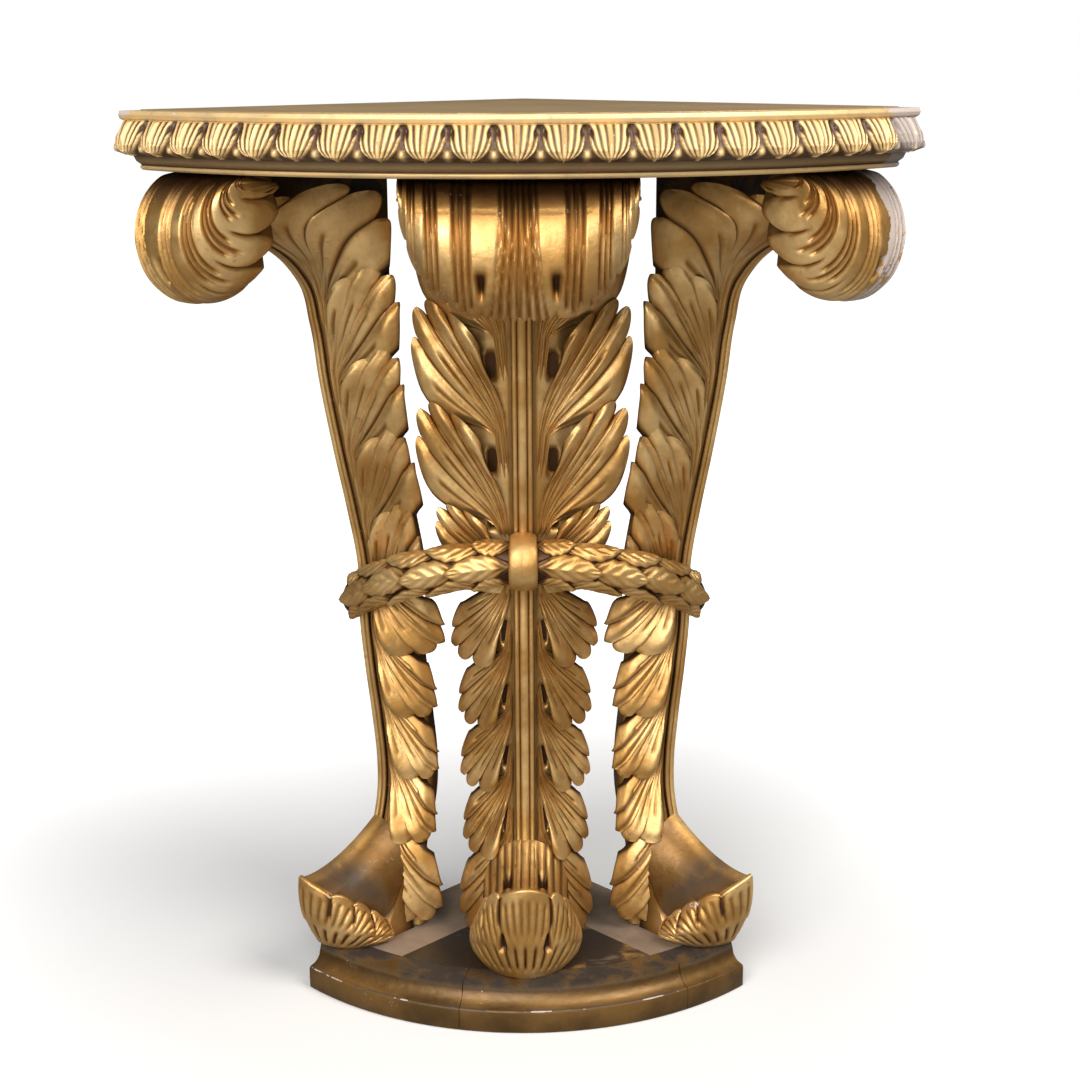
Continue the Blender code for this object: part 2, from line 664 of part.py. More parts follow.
def build_sprays():
    for leg, (_, sides) in LEGS.items():
        for side in sides:
            which = "" if leg != "centre" else ("_left" if side < 0 else "_right")
            for kind, spray in (("upper", UPPER_SPRAY), ("lower", LOWER_SPRAY)):
                loft(f"leg_{leg}_{kind}_leaf{which}", leaf_rings(leg, side, spray), GILT)


def curl_line(s, least):
    """Section of the curled tip: over the top, out, down and under, then back inside. It shrinks with s."""
    base = HEAD_RADIUS + FIT
    drop = CURL_DROP * max(math.sqrt(1 - s**CURL_BOW), least)
    reach = CURL_REACH * (CURL_SIDE + (1 - CURL_SIDE) * math.sqrt(1 - s**CURL_BOW_SIDE))
    outer = [(base, LEG_TOP)]
    for a in np.linspace(0, 1, CURL_STEPS)[1:]:
        turn = math.pi * (0.5 - CURL_TURN * a)
        r = base + reach * (CURL_FLAT + (1 - CURL_FLAT) * math.cos(turn))
        outer.append((r, LEG_TOP - drop * (1 - math.sin(turn)) / 2))
    lip_r, lip_z = outer[-1]
    root_z = LEG_TOP - CURL_ROOT * drop / CURL_DROP
    inner = []
    for a in np.linspace(0, 1, CURL_STEPS):
        hollow = CURL_HOLLOW * math.sin(math.pi * a) * drop / CURL_DROP
        inner.append((base + (lip_r - CURL_LIP - base) * a, root_z + (lip_z - root_z) * a + hollow))
    return outer, inner


def build_curls():
    """Each leaf tip rolls forward under the top and hangs down as a rounded lip."""
    for leg, (_, sides) in LEGS.items():
        shares = [math.sin(math.pi / 2 * u) ** (2 / CURL_BOW) for u in np.linspace(0, 1, CURL_COLS)]
        least = CURL_END_SIDE
        if leg == "centre":
            shares = [-s for s in shares[:0:-1]] + shares
            least = CURL_END_MIDDLE
        front, back = [], []
        for s in shares:
            outer, inner = curl_line(min(abs(s), 1.0), least)
            front.append([spot(leg, r, s * CURL_HALF, z, sides[-1]) for r, z in outer])
            back.append([spot(leg, r, s * CURL_HALF, z, sides[-1]) for r, z in inner])
        shell("leg_" + leg + "_curl", front, back, GILT)


def foot_ring(leg, toe, angle):
    """Upright section of a foot at an angle from the leg's own direction: wall, rim and saddle."""
    root = FOOT_RADIUS + FIT
    middle = root + toe["out"]
    turn = abs(angle) / TOE_TURN
    ahead = math.cos(min(abs(angle), math.pi / 2)) ** 2
    rim_z = LEG_BASE + toe["rise"] * (1 - toe["fall"] * turn ** toe["bend"])
    side = TOE_HALF - TOE_TUCK
    rim = side + (toe["reach"] - toe["out"] - side) * ahead
    base = min(TOE_BASE, toe["reach"] - toe["out"] - TOE_UNDER)
    swell = TOE_SWELL + TOE_SWELL_SIDE * (1 - ahead)
    root_t = FOOT_ROOT_HALF * math.sin(math.pi / 2 * angle / TOE_TURN)
    end_z = LEG_BASE + FOOT_RISE - FOOT_FALL * turn**2
    ring = [(root, root_t, LEG_BASE)]
    for v in np.linspace(0, 1, TOE_WALL):
        p = base + (rim - base) * math.sin(v * math.pi / 2) ** TOE_FLARE
        p += swell * math.sin(math.pi * v**TOE_SWELL_HIGH)
        z = LEG_BASE + (rim_z - LEG_BASE) * v
        ring.append((middle + p * math.cos(angle), p * math.sin(angle), z))
    edge_r, edge_t, _ = ring[-1]
    for w in np.linspace(0, 1, TOE_SADDLE + 1)[1:]:
        z = rim_z + (end_z - rim_z) * w ** toe["climb"] - toe["sag"] * math.sin(math.pi * w)
        ring.append((edge_r + (root - edge_r) * w, edge_t + (root_t - edge_t) * w, z))
    return [spot(leg, r, t, z, LEGS[leg][1][-1]) for r, t, z in ring]


def build_feet():
    for leg in LEGS:
        toe = MIDDLE_TOE if leg == "centre" else SIDE_TOE
        angles = np.linspace(0, TOE_TURN, TOE_STEPS)
        if leg == "centre":
            angles = [*-angles[:0:-1], *angles]
        loft("leg_" + leg + "_foot", [foot_ring(leg, toe, a) for a in angles], GILT)


def wreath_ring(angle, swell=1.0):
    """Flat-backed round section of the wreath. Its back rests on the leg spines."""
    share = wreath_share(angle)
    seat = wreath_seat(angle)
    ring = []
    for a in np.linspace(-math.pi / 2, math.pi / 2, WREATH_SIDES):
        r = seat + WREATH_DEPTH * math.cos(a) * swell
        ring.append(around(r, angle, leg_z(share) + WREATH_HALF * math.sin(a) * swell))
    return ring


def build_wreath():
    seat = spine_radius(WREATH_MID)
    clasp = CLASP_HALF / seat
    for name, sign in (("left", -1), ("right", 1)):
        angles = [sign * a for a in np.linspace(clasp + FIT / seat, WALL_ANGLE, WREATH_STEPS + 1)]
        rings = [wreath_ring(a, 1 - WREATH_RIPPLE * (k % 2)) for k, a in enumerate(angles)]
        loft("wreath_" + name, rings, GILT)
    across = np.linspace(-1, 1, CLASP_STEPS)
    rings = [wreath_ring(clasp * u, 1 + CLASP_SWELL * (0.5 - u * u)) for u in across]
    loft("wreath_clasp", rings, GILT)


def screw_shape(below, spare):
    """A countersunk screw, point up: shares of its length and radii. A hole starts below it and is wider."""
    whole = SCREW_LENGTH + below + spare
    rim = below + SCREW_RIM
    neck = rim + SCREW_CONE + spare
    tip = SCREW_RADIUS + spare
    shape = [(0, SCREW_HEAD + spare), (rim / whole, SCREW_HEAD + spare), (neck / whole, SCREW_RADIUS + spare)]
    if not spare:
        shape.append((1 - SCREW_POINT / whole, SCREW_RADIUS))
        tip = SCREW_TIP
    return shape + [(1, tip)]


def build_fixings():
    """Dowels and pins across the joints of each leg, and a screw up through the plinth."""
    up = Vector((0, 0, 1))
    for leg, (angle, sides) in LEGS.items():
        side = sides[-1]
        out = Vector((math.sin(angle), -math.cos(angle), 0))
        inset = 0.0 if leg == "centre" else POST_HALF / 2
        post = "leg_" + leg + "_post"
        rail = "centre_bearer" if leg == "centre" else "wall_rail_" + leg
        head = spot(leg, (HEAD_BACK + HEAD_RADIUS) / 2, inset, FRAME_Z - FIT / 2, side)
        fix_with_dowel("head_dowel_" + leg, head, up, DOWEL_RADIUS, DOWEL_LENGTH, (post, rail))
        curl = spot(leg, HEAD_RADIUS + FIT / 2, inset, LEG_TOP - CURL_ROOT / 2, side)
        hosts = (post, "leg_" + leg + "_curl")
        fix_with_dowel("curl_dowel_" + leg, curl, out, DOWEL_RADIUS, DOWEL_LENGTH, hosts)
        aside = 0.0 if leg == "centre" else FOOT_DOWEL_ASIDE
        foot = spot(leg, FOOT_RADIUS, aside, LEG_BASE + FOOT_DOWEL_RISE, side)
        hosts = (post, "leg_" + leg + "_foot")
        fix_with_dowel("foot_dowel_" + leg, foot, out, DOWEL_RADIUS, DOWEL_LENGTH, hosts)
        share = wreath_share(angle)
        near = 0.0 if leg == "centre" else SPINE_HALF / 2
        seat = spine_radius(share)
        pin = spot(leg, seat, near, leg_z(share), side)
        band = "wreath_clasp" if leg == "centre" else "wreath_" + leg
        fix_with_dowel("wreath_pin_" + leg, pin, out, PIN_RADIUS, PIN_LENGTH, (post, band))
        r = spine_radius(0.0) - POST_DEPTH / 2 - LEAF_THICK / 2
        low = spot(leg, r, inset, SCREW_SINK, side)
        rod("plinth_screw_" + leg, low, low + up * SCREW_LENGTH, screw_shape(0.0, 0.0), STEEL)
        start = low - up * (2 * SCREW_SINK)
        end = low + up * (SCREW_LENGTH + HOLE_CLEARANCE)
        loose = screw_shape(2 * SCREW_SINK, HOLE_CLEARANCE)
        hole = rod("plinth_screw_" + leg + "_hole", start, end, loose, None)
        board = "plinth_board_" + ("front" if leg == "centre" else leg)
        for host in (board, post):
            cut(bpy.data.objects[host], hole)


clear_scene()
build_boards()
build_edges()
build_frame()
build_plinth()
build_posts()
build_sprays()
build_curls()
build_feet()
build_wreath()
build_fixings()
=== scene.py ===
"""Looks for the corner console table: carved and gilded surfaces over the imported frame, a stage and a camera.

Every carved piece is a grid of points worked out by numpy in the frame of its leg: r is the distance out from
the corner line, t the distance sideways into the room and z the height. The front faces -Y.
"""

import math

import bpy
import numpy as np
from bpy.props import FloatProperty, FloatVectorProperty, IntProperty, PointerProperty
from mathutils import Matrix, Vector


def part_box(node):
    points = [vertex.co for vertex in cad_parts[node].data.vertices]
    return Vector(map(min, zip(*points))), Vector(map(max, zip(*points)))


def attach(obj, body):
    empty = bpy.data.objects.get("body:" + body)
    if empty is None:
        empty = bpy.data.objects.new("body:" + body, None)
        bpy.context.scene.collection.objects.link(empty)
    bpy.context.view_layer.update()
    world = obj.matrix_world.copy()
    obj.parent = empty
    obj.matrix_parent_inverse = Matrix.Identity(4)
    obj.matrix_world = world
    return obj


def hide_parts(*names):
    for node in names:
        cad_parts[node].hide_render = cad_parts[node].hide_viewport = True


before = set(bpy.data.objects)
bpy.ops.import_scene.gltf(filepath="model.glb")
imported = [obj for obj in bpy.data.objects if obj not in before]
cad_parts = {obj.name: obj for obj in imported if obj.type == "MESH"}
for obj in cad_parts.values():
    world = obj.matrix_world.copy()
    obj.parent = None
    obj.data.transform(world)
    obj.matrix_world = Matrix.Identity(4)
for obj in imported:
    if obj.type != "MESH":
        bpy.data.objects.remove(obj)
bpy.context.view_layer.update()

bl_info = {
    "name": "Corner console table",
    "version": (1, 0, 0),
    "blender": (4, 5, 0),
    "location": "View3D > Sidebar > Console",
    "description": "Builds the carved and gilded looks of a corner console table",
    "category": "Add Mesh",
}

WALL = math.radians(45)
LEGS = {"left": (-WALL, (1,)), "centre": (0.0, (-1, 1)), "right": (WALL, (-1,))}
CORNER_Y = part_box("top_board_back")[1].y
TABLE_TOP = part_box("top_board_back")[1].z
BOARD_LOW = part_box("top_board_back")[0].z
FRAME_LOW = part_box("frieze_rail_centre")[0].z
LEG_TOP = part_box("leg_centre_curl")[1].z
LEG_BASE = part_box("leg_centre_foot")[0].z
TOP_RADIUS = CORNER_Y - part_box("leaf_moulding_centre")[0].y
BOARD_RADIUS = CORNER_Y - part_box("top_board_front")[0].y
LEDGE_RADIUS = CORNER_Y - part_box("frieze_rail_centre")[0].y
PLINTH_RADIUS = CORNER_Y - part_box("plinth_edge_centre")[0].y
EDGE_RADIUS = CORNER_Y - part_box("plinth_board_front")[0].y
PLINTH_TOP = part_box("plinth_board_front")[1].z
LEG_HEIGHT = LEG_TOP - LEG_BASE
SPINE_FOOT = 0.2361
SPINE_HEAD = 0.4000
SPINE_HALF = 0.010
# Share of the leg height, and share of the way from the spine's foot radius to its head radius
SPINE = np.array([
    (0.000, 0.0000), (0.115, 0.0060), (0.145, -0.0423), (0.185, -0.0846), (0.225, -0.0906), (0.290, -0.0604),
    (0.360, -0.0151), (0.420, 0.0151), (0.500, 0.0211), (0.570, 0.0876), (0.650, 0.1782), (0.740, 0.2689),
    (0.810, 0.3233), (0.865, 0.4109), (0.900, 0.5891), (0.925, 0.8248), (0.940, 0.9758), (1.000, 1.0000),
])
# Control lines of a leaflet, given in millimetres: its outer edge, its middle and its inner edge. Each has
# the sideways place of the stem, then the sideways and lengthwise places of the stem's end, of the bend's two
# handles and of the tip.
UPPER_LINES = np.array([
    (16.0, 26.0, -20.0, 33.0, -6.0, 76.0, -18.0, 97.0, 26.0),
    (13.0, 21.0, -20.0, 26.0, 7.0, 58.0, 36.0, 92.0, 94.0),
    (10.2, 15.4, -20.0, 17.0, 30.0, 36.0, 26.0, 38.0, 66.0),
]) / 1000
LOWER_LINES = np.array([
    (13.6, 20.0, -26.0, 23.0, -14.0, 50.0, -12.0, 66.0, 12.0),
    (11.8, 16.0, -26.0, 20.0, -2.0, 45.0, 22.0, 69.0, 59.0),
    (10.2, 12.6, -26.0, 14.0, 14.0, 26.0, 16.0, 29.0, 63.0),
]) / 1000
# Leaflets of a spray, each as its base, a share of the leg height, its width, its length and its stem.
LEAFLETS = {
    "upper": ((0.473, 0.82, 1.0, 0.030), (0.5702, 0.96, 1.0, 0.050), (0.6674, 0.99, 1.0, 0.082),
              (0.7646, 0.97, 1.0, 0.086), (0.8618, 0.95, 1.0, 0.080)),
    "centre upper": ((0.525, 0.82, 0.62, 0.012), (0.597, 1.02, 1.10, 0.040), (0.715, 1.04, 1.12, 0.095),
                     (0.833, 1.00, 1.08, 0.095)),
    "lower": ((0.467, 1.04, 1.0, 0.030), (0.3804, 0.92, 1.0, 0.070), (0.2938, 0.90, 1.0, 0.070),
              (0.2072, 0.87, 1.0, 0.070), (0.1206, 0.96, 1.30, 0.070)),
}
# Leaflets: how far out the stem reaches, its share of the length, and the width up to which relief grows
STEM_REACH = 0.018
STEM_SHARE = 0.24
WIDEST_FINGER = 0.022
# Eyes beside the leaflets: sideways and lengthwise place, then half width and half height
EYES = {"upper": (0.0290, 0.046, 0.0046, 0.0130), "lower": (0.0185, 0.029, 0.0036, 0.0110)}
# Body under the leaflets: the heights of its ends and its half width, then what it gains at the foot of the
# centre leg
BODIES = {"upper": (0.432, 0.790, 0.064), "lower": (0.047, 0.440, 0.046)}
SKIRT = 0.014
# Leaf under the carving: shares of the leg height at its ends, share of its length in which the rim settles,
# its fold, the rim's radius and what it gains, and the width of the leaf
LEAVES = {
    "upper": (0.477, 0.950, 0.60, 0.026, 0.2135, 0.0405, 0.099),
    "lower": (0.473, 0.020, 0.05, 0.036, 0.203, -0.019, 0.075),
}
# Spine: half width of the middle bead as a share, and relief of the beads
BEAD = 0.42
BEAD_RELIEF = 0.0042
# Toes: set-back of the centre line, fall of the rim, power of the fall, sag of the saddle and wear
SIDE_TOE = (0.026, 0.70, 1.3, 0.002, 0.85)
MIDDLE_TOE = (0.014, 0.52, 1.7, 0.006, 0.0)
# Radii at which the width of the clasp and the length of a laurel leaf are taken
CLASP_RADIUS = 0.243
LAUREL_RADIUS = 0.262
# Laurel leaves: share of its length by which each follows the last, then for each row its angle round the
# wreath, its shift along it and the half angle of a leaf
LAUREL_PITCH = 0.78
LAUREL_ROWS = ((-1.08, 0.5, 0.62), (1.08, 0.5, 0.62), (0.0, 0.0, 0.74))
# Points along each leaf of the carved edge, gap at the joints, and the floor
EDGE_POINTS = 44
JOINT_GAP = 0.0003
FLOOR_HALF = 30.0
FLOOR_Z = -0.0005


def metres(name, words, value):
    """A setting that is a length."""
    return FloatProperty(name=name, description=words, default=value, unit="LENGTH")


def radians(name, words, value):
    """A setting that is an angle."""
    return FloatProperty(name=name, description=words, default=value, subtype="ANGLE")


def number(name, words, value):
    """A setting without a unit."""
    return FloatProperty(name=name, description=words, default=value)


def tint(name, words, value):
    """A setting that is a colour."""
    return FloatVectorProperty(
        name=name, description=words, default=value, subtype="COLOR", min=0, max=1, size=3
    )


class ConsoleTop(bpy.types.PropertyGroup):
    """Sizes of the top and its carved edge"""

    leaves: IntProperty(name="Leaves", description="Leaves along the carved edge", default=21, min=3)
    relief: metres("Relief", "Depth of the carved edge", 0.0052)
    lip: metres("Lip", "Height of the plain lip above the leaves", 0.0065)
    arris: metres("Arris", "Rounding of the board edges", 0.0010)


class ConsoleLegs(bpy.types.PropertyGroup):
    """Sizes of the posts and leaf sprays"""

    spine_half: metres("Spine half", "Half width of the spine", SPINE_HALF)
    post_half: metres("Post half", "Half width of a post", 0.034)
    post_depth: metres("Post depth", "Depth of a post", 0.055)
    head_back: metres("Head back", "Radius of the back of a leg head", 0.216)
    fingers: IntProperty(name="Fingers", description="Fingers on a leaflet", default=4, min=2)
    ridge: number("Ridge", "Height of a finger as a share of its width", 0.20)
    flute: number("Flute", "Depth of a flute as a share of its width", 0.11)
    lap: number("Lap", "How far a finger laps over the next as a share of its width", 0.10)
    notch: number("Notch", "Depth of the notch between two fingertips", 0.085)
    lift: metres("Lift", "How far fingertips stand proud", 0.0075)
    thick: metres("Thickness", "Thickness of a leaflet", 0.0065)


class ConsoleCurls(bpy.types.PropertyGroup):
    """Sizes of the curled leaf tips and the feet"""

    half: metres("Half width", "Half width of a curl", 0.100)
    reach: metres("Reach", "Reach of a curl past the leg head", 0.078)
    drop: metres("Drop", "Height of a curl", 0.116)
    root: metres("Root", "Height of the root of a curl", 0.060)
    lobe: metres("Lobe", "Width of a scallop of the lip", 0.0310)
    groove: metres("Groove", "Depth of the flutes", 0.0036)
    toe_half: metres("Toe half", "Half width of a toe", 0.053)
    toe_reach: metres("Toe reach", "Reach of a side toe past the spine", 0.094)
    toe_rise: metres("Toe rise", "Height of a side toe", 0.081)
    mid_reach: metres("Middle toe reach", "Reach of the middle toe", 0.068)
    mid_rise: metres("Middle toe rise", "Height of the middle toe", 0.099)


class ConsoleWreath(bpy.types.PropertyGroup):
    """Sizes of the wreath"""

    mid: number("Middle", "Share of the leg height at the clasp", 0.530)
    end: number("End", "Share of the leg height at the ends", 0.458)
    half: metres("Half height", "Half height of the wreath", 0.0255)
    depth: metres("Depth", "Depth of the wreath", 0.026)
    leaf: metres("Leaf", "Length of a laurel leaf", 0.060)
    clasp: metres("Clasp half", "Half width of the clasp", 0.0125)


class ConsolePlinth(bpy.types.PropertyGroup):
    """Sizes of the plinth"""

    face: metres("Face", "Height of the plain face", 0.024)
    cove: metres("Cove", "Depth of the hollow moulding", 0.0166)
    strip: metres("Strip", "Width of a wall strip", 0.082)
    joint_left: radians("Left joint", "Place of the left edge joint", math.radians(-12))
    joint_right: radians("Right joint", "Place of the right edge joint", math.radians(31))
    gap: metres("Gap", "Width of the joint lines", 0.0006)


class ConsoleFinish(bpy.types.PropertyGroup):
    """Colours of the finishes"""

    # Burnished gold and painted highlight on high places; also the open gold of the carved edge.
    bright: tint("Bright gold", "Burnished gold on high places", (0.820, 0.560, 0.240))
    mid: tint("Gold", "Gold on open places", (0.470, 0.250, 0.066))
    # Painted shade in the recesses of the gilding; also the dark specks of the top.
    shade_and_speck: tint("Deep gold", "Gold in recesses", (0.050, 0.018, 0.004))
    pale: tint("Pale gold", "Gold of the carved edge", (0.600, 0.430, 0.215))
    top: tint("Top", "Painted surface of the top", (0.330, 0.230, 0.115))
    gesso: tint("Gesso", "White ground where the gold is lost", (0.540, 0.450, 0.395))
    clay: tint("Clay", "Red clay where the gold is rubbed", (0.400, 0.150, 0.070))
    dark: tint("Dark clay", "Dark ground of the plinth and the heads", (0.030, 0.020, 0.013))
    wood: tint("Wood", "Bare wood", (0.300, 0.215, 0.150))
    steel: tint("Steel", "Steel of the screws", (0.300, 0.290, 0.280))


class ConsoleStage(bpy.types.PropertyGroup):
    """Camera and lights"""

    place: FloatVectorProperty(
        name="Camera",
        description="Place of the camera",
        default=(0.018, -1.6805, 0.9462),
        subtype="XYZ",
        unit="LENGTH",
    )
    lens: number("Lens", "Focal length", 60.0)
    pitch: radians("Pitch", "How far the camera looks down", 0.2646)
    roll: radians("Roll", "Roll of the camera", 0.004)
    key: number("Key", "Power of the key light", 84.0)
    fill: number("Fill", "Power of the fill light", 112.0)
    overhead: number("Overhead", "Power of the light above", 6.0)
    sky: number("Sky", "Strength of the light from all round", 0.09)
    glow: number("Glow", "Strength of the white of the floor near the table", 0.05)


def smooth_line(keys, values, at):
    """Smooth curve through (keys, values) read at an array: cubic Hermite pieces with centred slopes."""
    slopes = np.gradient(values, keys)
    i = np.clip(np.searchsorted(keys, at) - 1, 0, len(keys) - 2)
    span = keys[i + 1] - keys[i]
    u = np.clip((at - keys[i]) / span, 0, 1)
    a, b = 2 * u**3 - 3 * u**2 + 1, u**3 - 2 * u**2 + u
    c, d = 3 * u**2 - 2 * u**3, u**3 - u**2
    return a * values[i] + b * span * slopes[i] + c * values[i + 1] + d * span * slopes[i + 1]


def spine_radius(z):
    """Radius of the spine's crest at a height."""
    share = np.asarray(z - LEG_BASE, float) / LEG_HEIGHT
    return SPINE_FOOT + (SPINE_HEAD - SPINE_FOOT) * smooth_line(SPINE[:, 0], SPINE[:, 1], share)


def step(low, high, value):
    """Smooth step: 0 below low, 1 above high, 3u^2 - 2u^3 between."""
    u = np.clip((value - low) / (high - low), 0, 1)
    return u * u * (3 - 2 * u)


def bell(value, middle, width):
    """Bell curve: exp(-((value - middle) / width)^2)."""
    return np.exp(-(((value - middle) / width) ** 2))


def spot(a, b, power=4):
    """A spot with a flat middle where a and b are small: exp(-a^p - b^p)."""
    return np.exp(-(a**power) - b**power)


def ripple(turns):
    """A wave between 0 and 1: 0.5 + 0.5 cos(2 pi turns)."""
    return 0.5 + 0.5 * np.cos(2 * math.pi * turns)


def bead_heights(u):
    """Squared heights of the spine's three beads: 1 - x^2 across each, at a share u of the half width."""
    u = np.abs(u)
    return np.where(u < BEAD, 1 - (u / BEAD) ** 2, np.clip(1 - ((u - 0.72) / 0.28) ** 2, 0, 1))


def at_leg(leg, side, r, t, z):
    """World points of leg places: x = r sin a + side t cos a, y = corner - r cos a + side t sin a."""
    angle = LEGS[leg][0]
    r, t, z = np.broadcast_arrays(np.asarray(r, float), t, z)
    x = r * math.sin(angle) + side * t * math.cos(angle)
    y = CORNER_Y - r * math.cos(angle) + side * t * math.sin(angle)
    return np.stack([x, y, z], axis=-1)


def around(r, angle, z):
    """World points at radius r and an angle about the corner line: x = r sin a, y = corner - r cos a."""
    r, angle, z = np.broadcast_arrays(np.asarray(r, float), angle, z)
    return np.stack([r * np.sin(angle), CORNER_Y - r * np.cos(angle), z], axis=-1)


def normals(grid):
    """Unit normals of a grid of points, from the cross product of its two differences."""
    n = np.cross(np.gradient(grid, axis=0), np.gradient(grid, axis=1))
    return n / np.maximum(np.linalg.norm(n, axis=-1, keepdims=True), 1e-12)


class Piece:
    """Closed grids joined into one mesh. Each point carries high, painted shade and highlight from 0 in
    recesses, creases and faces turned from the light to 1 on lit high places, bare, how far the gold is
    missing, and chip, how easily the gold breaks away there, up to 2."""

    def __init__(self):
        self.points, self.loops, self.sizes = [], [], []
        self.marks = {"high": [], "bare": [], "chip": []}
        self.count = 0

    def keep(self, points, faces, marks):
        """Adds a closed body and turns its faces outwards by the sign of its volume."""
        volume = 0.0
        for f in faces:
            a, b, c = points[f[:, 0]], points[f[:, 1]], points[f[:, 2]]
            volume += np.einsum("ij,ij->", a, np.cross(b, c))
            if f.shape[1] == 4:
                d = points[f[:, 3]]
                volume += np.einsum("ij,ij->", a, np.cross(c, d))
        for f in faces:
            f = f[:, ::-1] if volume < 0 else f
            self.loops.append((f + self.count).ravel())
            self.sizes.append(np.full(len(f), f.shape[1]))
        self.points.append(points)
        for name, rows in self.marks.items():
            value = marks.get(name, 0.5 if name == "high" else 0.0)
            rows.append(np.broadcast_to(value, len(points)).astype(float))
        self.count += len(points)

    def sheet(self, front, back, **marks):
        """A body between two grids of the same shape, joined round their rims."""
        rows, cols = front.shape[:2]
        index = np.arange(rows * cols).reshape(rows, cols)
        quads = np.stack([index[:-1, :-1], index[1:, :-1], index[1:, 1:], index[:-1, 1:]], -1).reshape(-1, 4)
        rim = np.concatenate([index[:-1, 0], index[-1, :-1], index[:0:-1, -1], index[0, :0:-1]])
        after = np.roll(rim, -1)
        size = rows * cols
        sides = np.stack([after, rim, rim + size, after + size], -1)
        points = np.concatenate([front.reshape(-1, 3), back.reshape(-1, 3)])
        both = {}
        for name, value in marks.items():
            flat = np.broadcast_to(value, (rows, cols)).ravel()
            # Painted shade: the back grid takes a quarter of the front's high mark, so backs and rims read
            # darker.
            both[name] = np.concatenate([flat, flat * (0.25 if name == "high" else 1.0)])
        self.keep(points, [quads, quads[:, ::-1] + size, sides], both)

    def tube(self, rings, **marks):
        """A body through rings of points, closed round each ring and by a fan at each end."""
        rows, cols = rings.shape[:2]
        index = np.arange(rows * cols).reshape(rows, cols)
        index = np.concatenate([index, index[:, :1]], axis=1)
        quads = np.stack([index[:-1, :-1], index[1:, :-1], index[1:, 1:], index[:-1, 1:]], -1).reshape(-1, 4)
        first, last = rows * cols, rows * cols + 1
        ends = [np.stack([np.full(cols, first), index[0, :-1], index[0, 1:]], -1)]
        ends.append(np.stack([np.full(cols, last), index[-1, 1:], index[-1, :-1]], -1))
        points = np.concatenate([rings.reshape(-1, 3), rings[:1].mean(axis=1), rings[-1:].mean(axis=1)])
        flat = {}
        for name, value in marks.items():
            grid = np.broadcast_to(value, (rows, cols))
            flat[name] = np.concatenate([grid.ravel(), grid[0, :1], grid[-1, :1]])
        self.keep(points, [quads, np.concatenate(ends)], flat)

    def build(self, name, look, slot, *nodes):
        """Makes the object in a named material, rides it on the table and lets it stand for its CAD nodes."""
        mesh = bpy.data.meshes.new(name)
        mesh.vertices.add(self.count)
        mesh.vertices.foreach_set("co", np.concatenate(self.points).ravel())
        loops = np.concatenate(self.loops)
        sizes = np.concatenate(self.sizes)
        mesh.loops.add(len(loops))
        mesh.loops.foreach_set("vertex_index", loops)
        mesh.polygons.add(len(sizes))
        mesh.polygons.foreach_set("loop_start", np.concatenate([[0], np.cumsum(sizes)[:-1]]))
        mesh.polygons.foreach_set("use_smooth", np.ones(len(sizes), bool))
        for mark, rows in self.marks.items():
            layer = mesh.attributes.new(mark, "FLOAT", "POINT")
            layer.data.foreach_set("value", np.clip(np.concatenate(rows), 0, 2 if mark == "chip" else 1))
        mesh.update(calc_edges=True)
        mesh.set_sharp_from_angle(angle=math.radians(60))
        mesh.materials.append(bpy.data.materials[look])
        made = bpy.data.objects.new(name, mesh)
        bpy.context.scene.collection.objects.link(made)
        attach(made, "root")
        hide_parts(*nodes)


def swept(profile, first, last, count):
    """Rings of a profile of (r, z) carried about the corner line between two angles."""
    angles = np.linspace(first, last, count)
    return around(profile[None, :, 0], angles[:, None], profile[None, :, 1])


def rounded(profile, radius, points=5):
    """A closed profile with each corner cut by a curve through it: p + (a - p)(1 - s)^2 k + (b - p) s^2 k."""
    before, after = np.roll(profile, 1, axis=0), np.roll(profile, -1, axis=0)
    s = np.linspace(0, 1, points)[None, :, None]

    def near(other):
        gap = other - profile
        length = np.linalg.norm(gap, axis=1, keepdims=True)
        return gap * np.minimum(radius / np.maximum(length, 1e-9), 0.45)

    curve = profile[:, None] + near(before)[:, None] * (1 - s) ** 2 + near(after)[:, None] * s**2
    return curve.reshape(-1, 2)


def board_sheet(near, far, low, high, radius, arris):
    """Grids of the two faces of a board between two distances from the corner. Across it, x = u w(d), where
    w is the distance to the wall or to the rim: w(d) = min(d, sqrt(R^2 - d^2))."""
    v = np.concatenate([[0, 0.3, 1], np.linspace(1, 60, 50), [60, 60.7, 61]])
    v = np.clip((v - v[0]) / (v[-1] - v[0]), 0, 1)
    d = near + (far - near) * v
    w = np.minimum(d, np.sqrt(np.maximum(radius**2 - d**2, 0)))
    u = np.concatenate([[-1, -0.998], np.linspace(-0.994, 0.994, 60), [0.998, 1]])
    x = u[None, :] * w[:, None]
    edge = np.minimum(np.minimum(d - near, far - d)[:, None], (1 - np.abs(u))[None, :] * w[:, None])
    drop = arris * (1 - np.sqrt(np.clip(1 - np.clip(1 - edge / arris, 0, 1) ** 2, 0, 1)))
    y = np.broadcast_to((CORNER_Y - d)[:, None], x.shape)
    return np.stack([x, y, high - drop], -1), np.stack([x, y, np.full_like(x, low)], -1)


def leaf_surface(kind, t, z):
    """Radius of the smooth leaf under the carving: rib - fold (t / w)^1.5 - more ((t - h) / (w - h))^1.5.

    Here w is the leaf's width and h half the post's, and more brings the rim to its own radius, which gains
    along the spray.
    """
    start, end, settle, fold, rim, gain, w = LEAVES[kind]
    h = bpy.context.scene.console_legs.post_half
    along = ((z - LEG_BASE) / LEG_HEIGHT - start) / (end - start)
    rib = spine_radius(z)
    more = rib - fold - rim - gain * step(0, settle, along)
    return rib - fold * (np.maximum(t, 0) / w) ** 1.5 - more * (np.maximum(t - h, 0) / (w - h)) ** 1.5


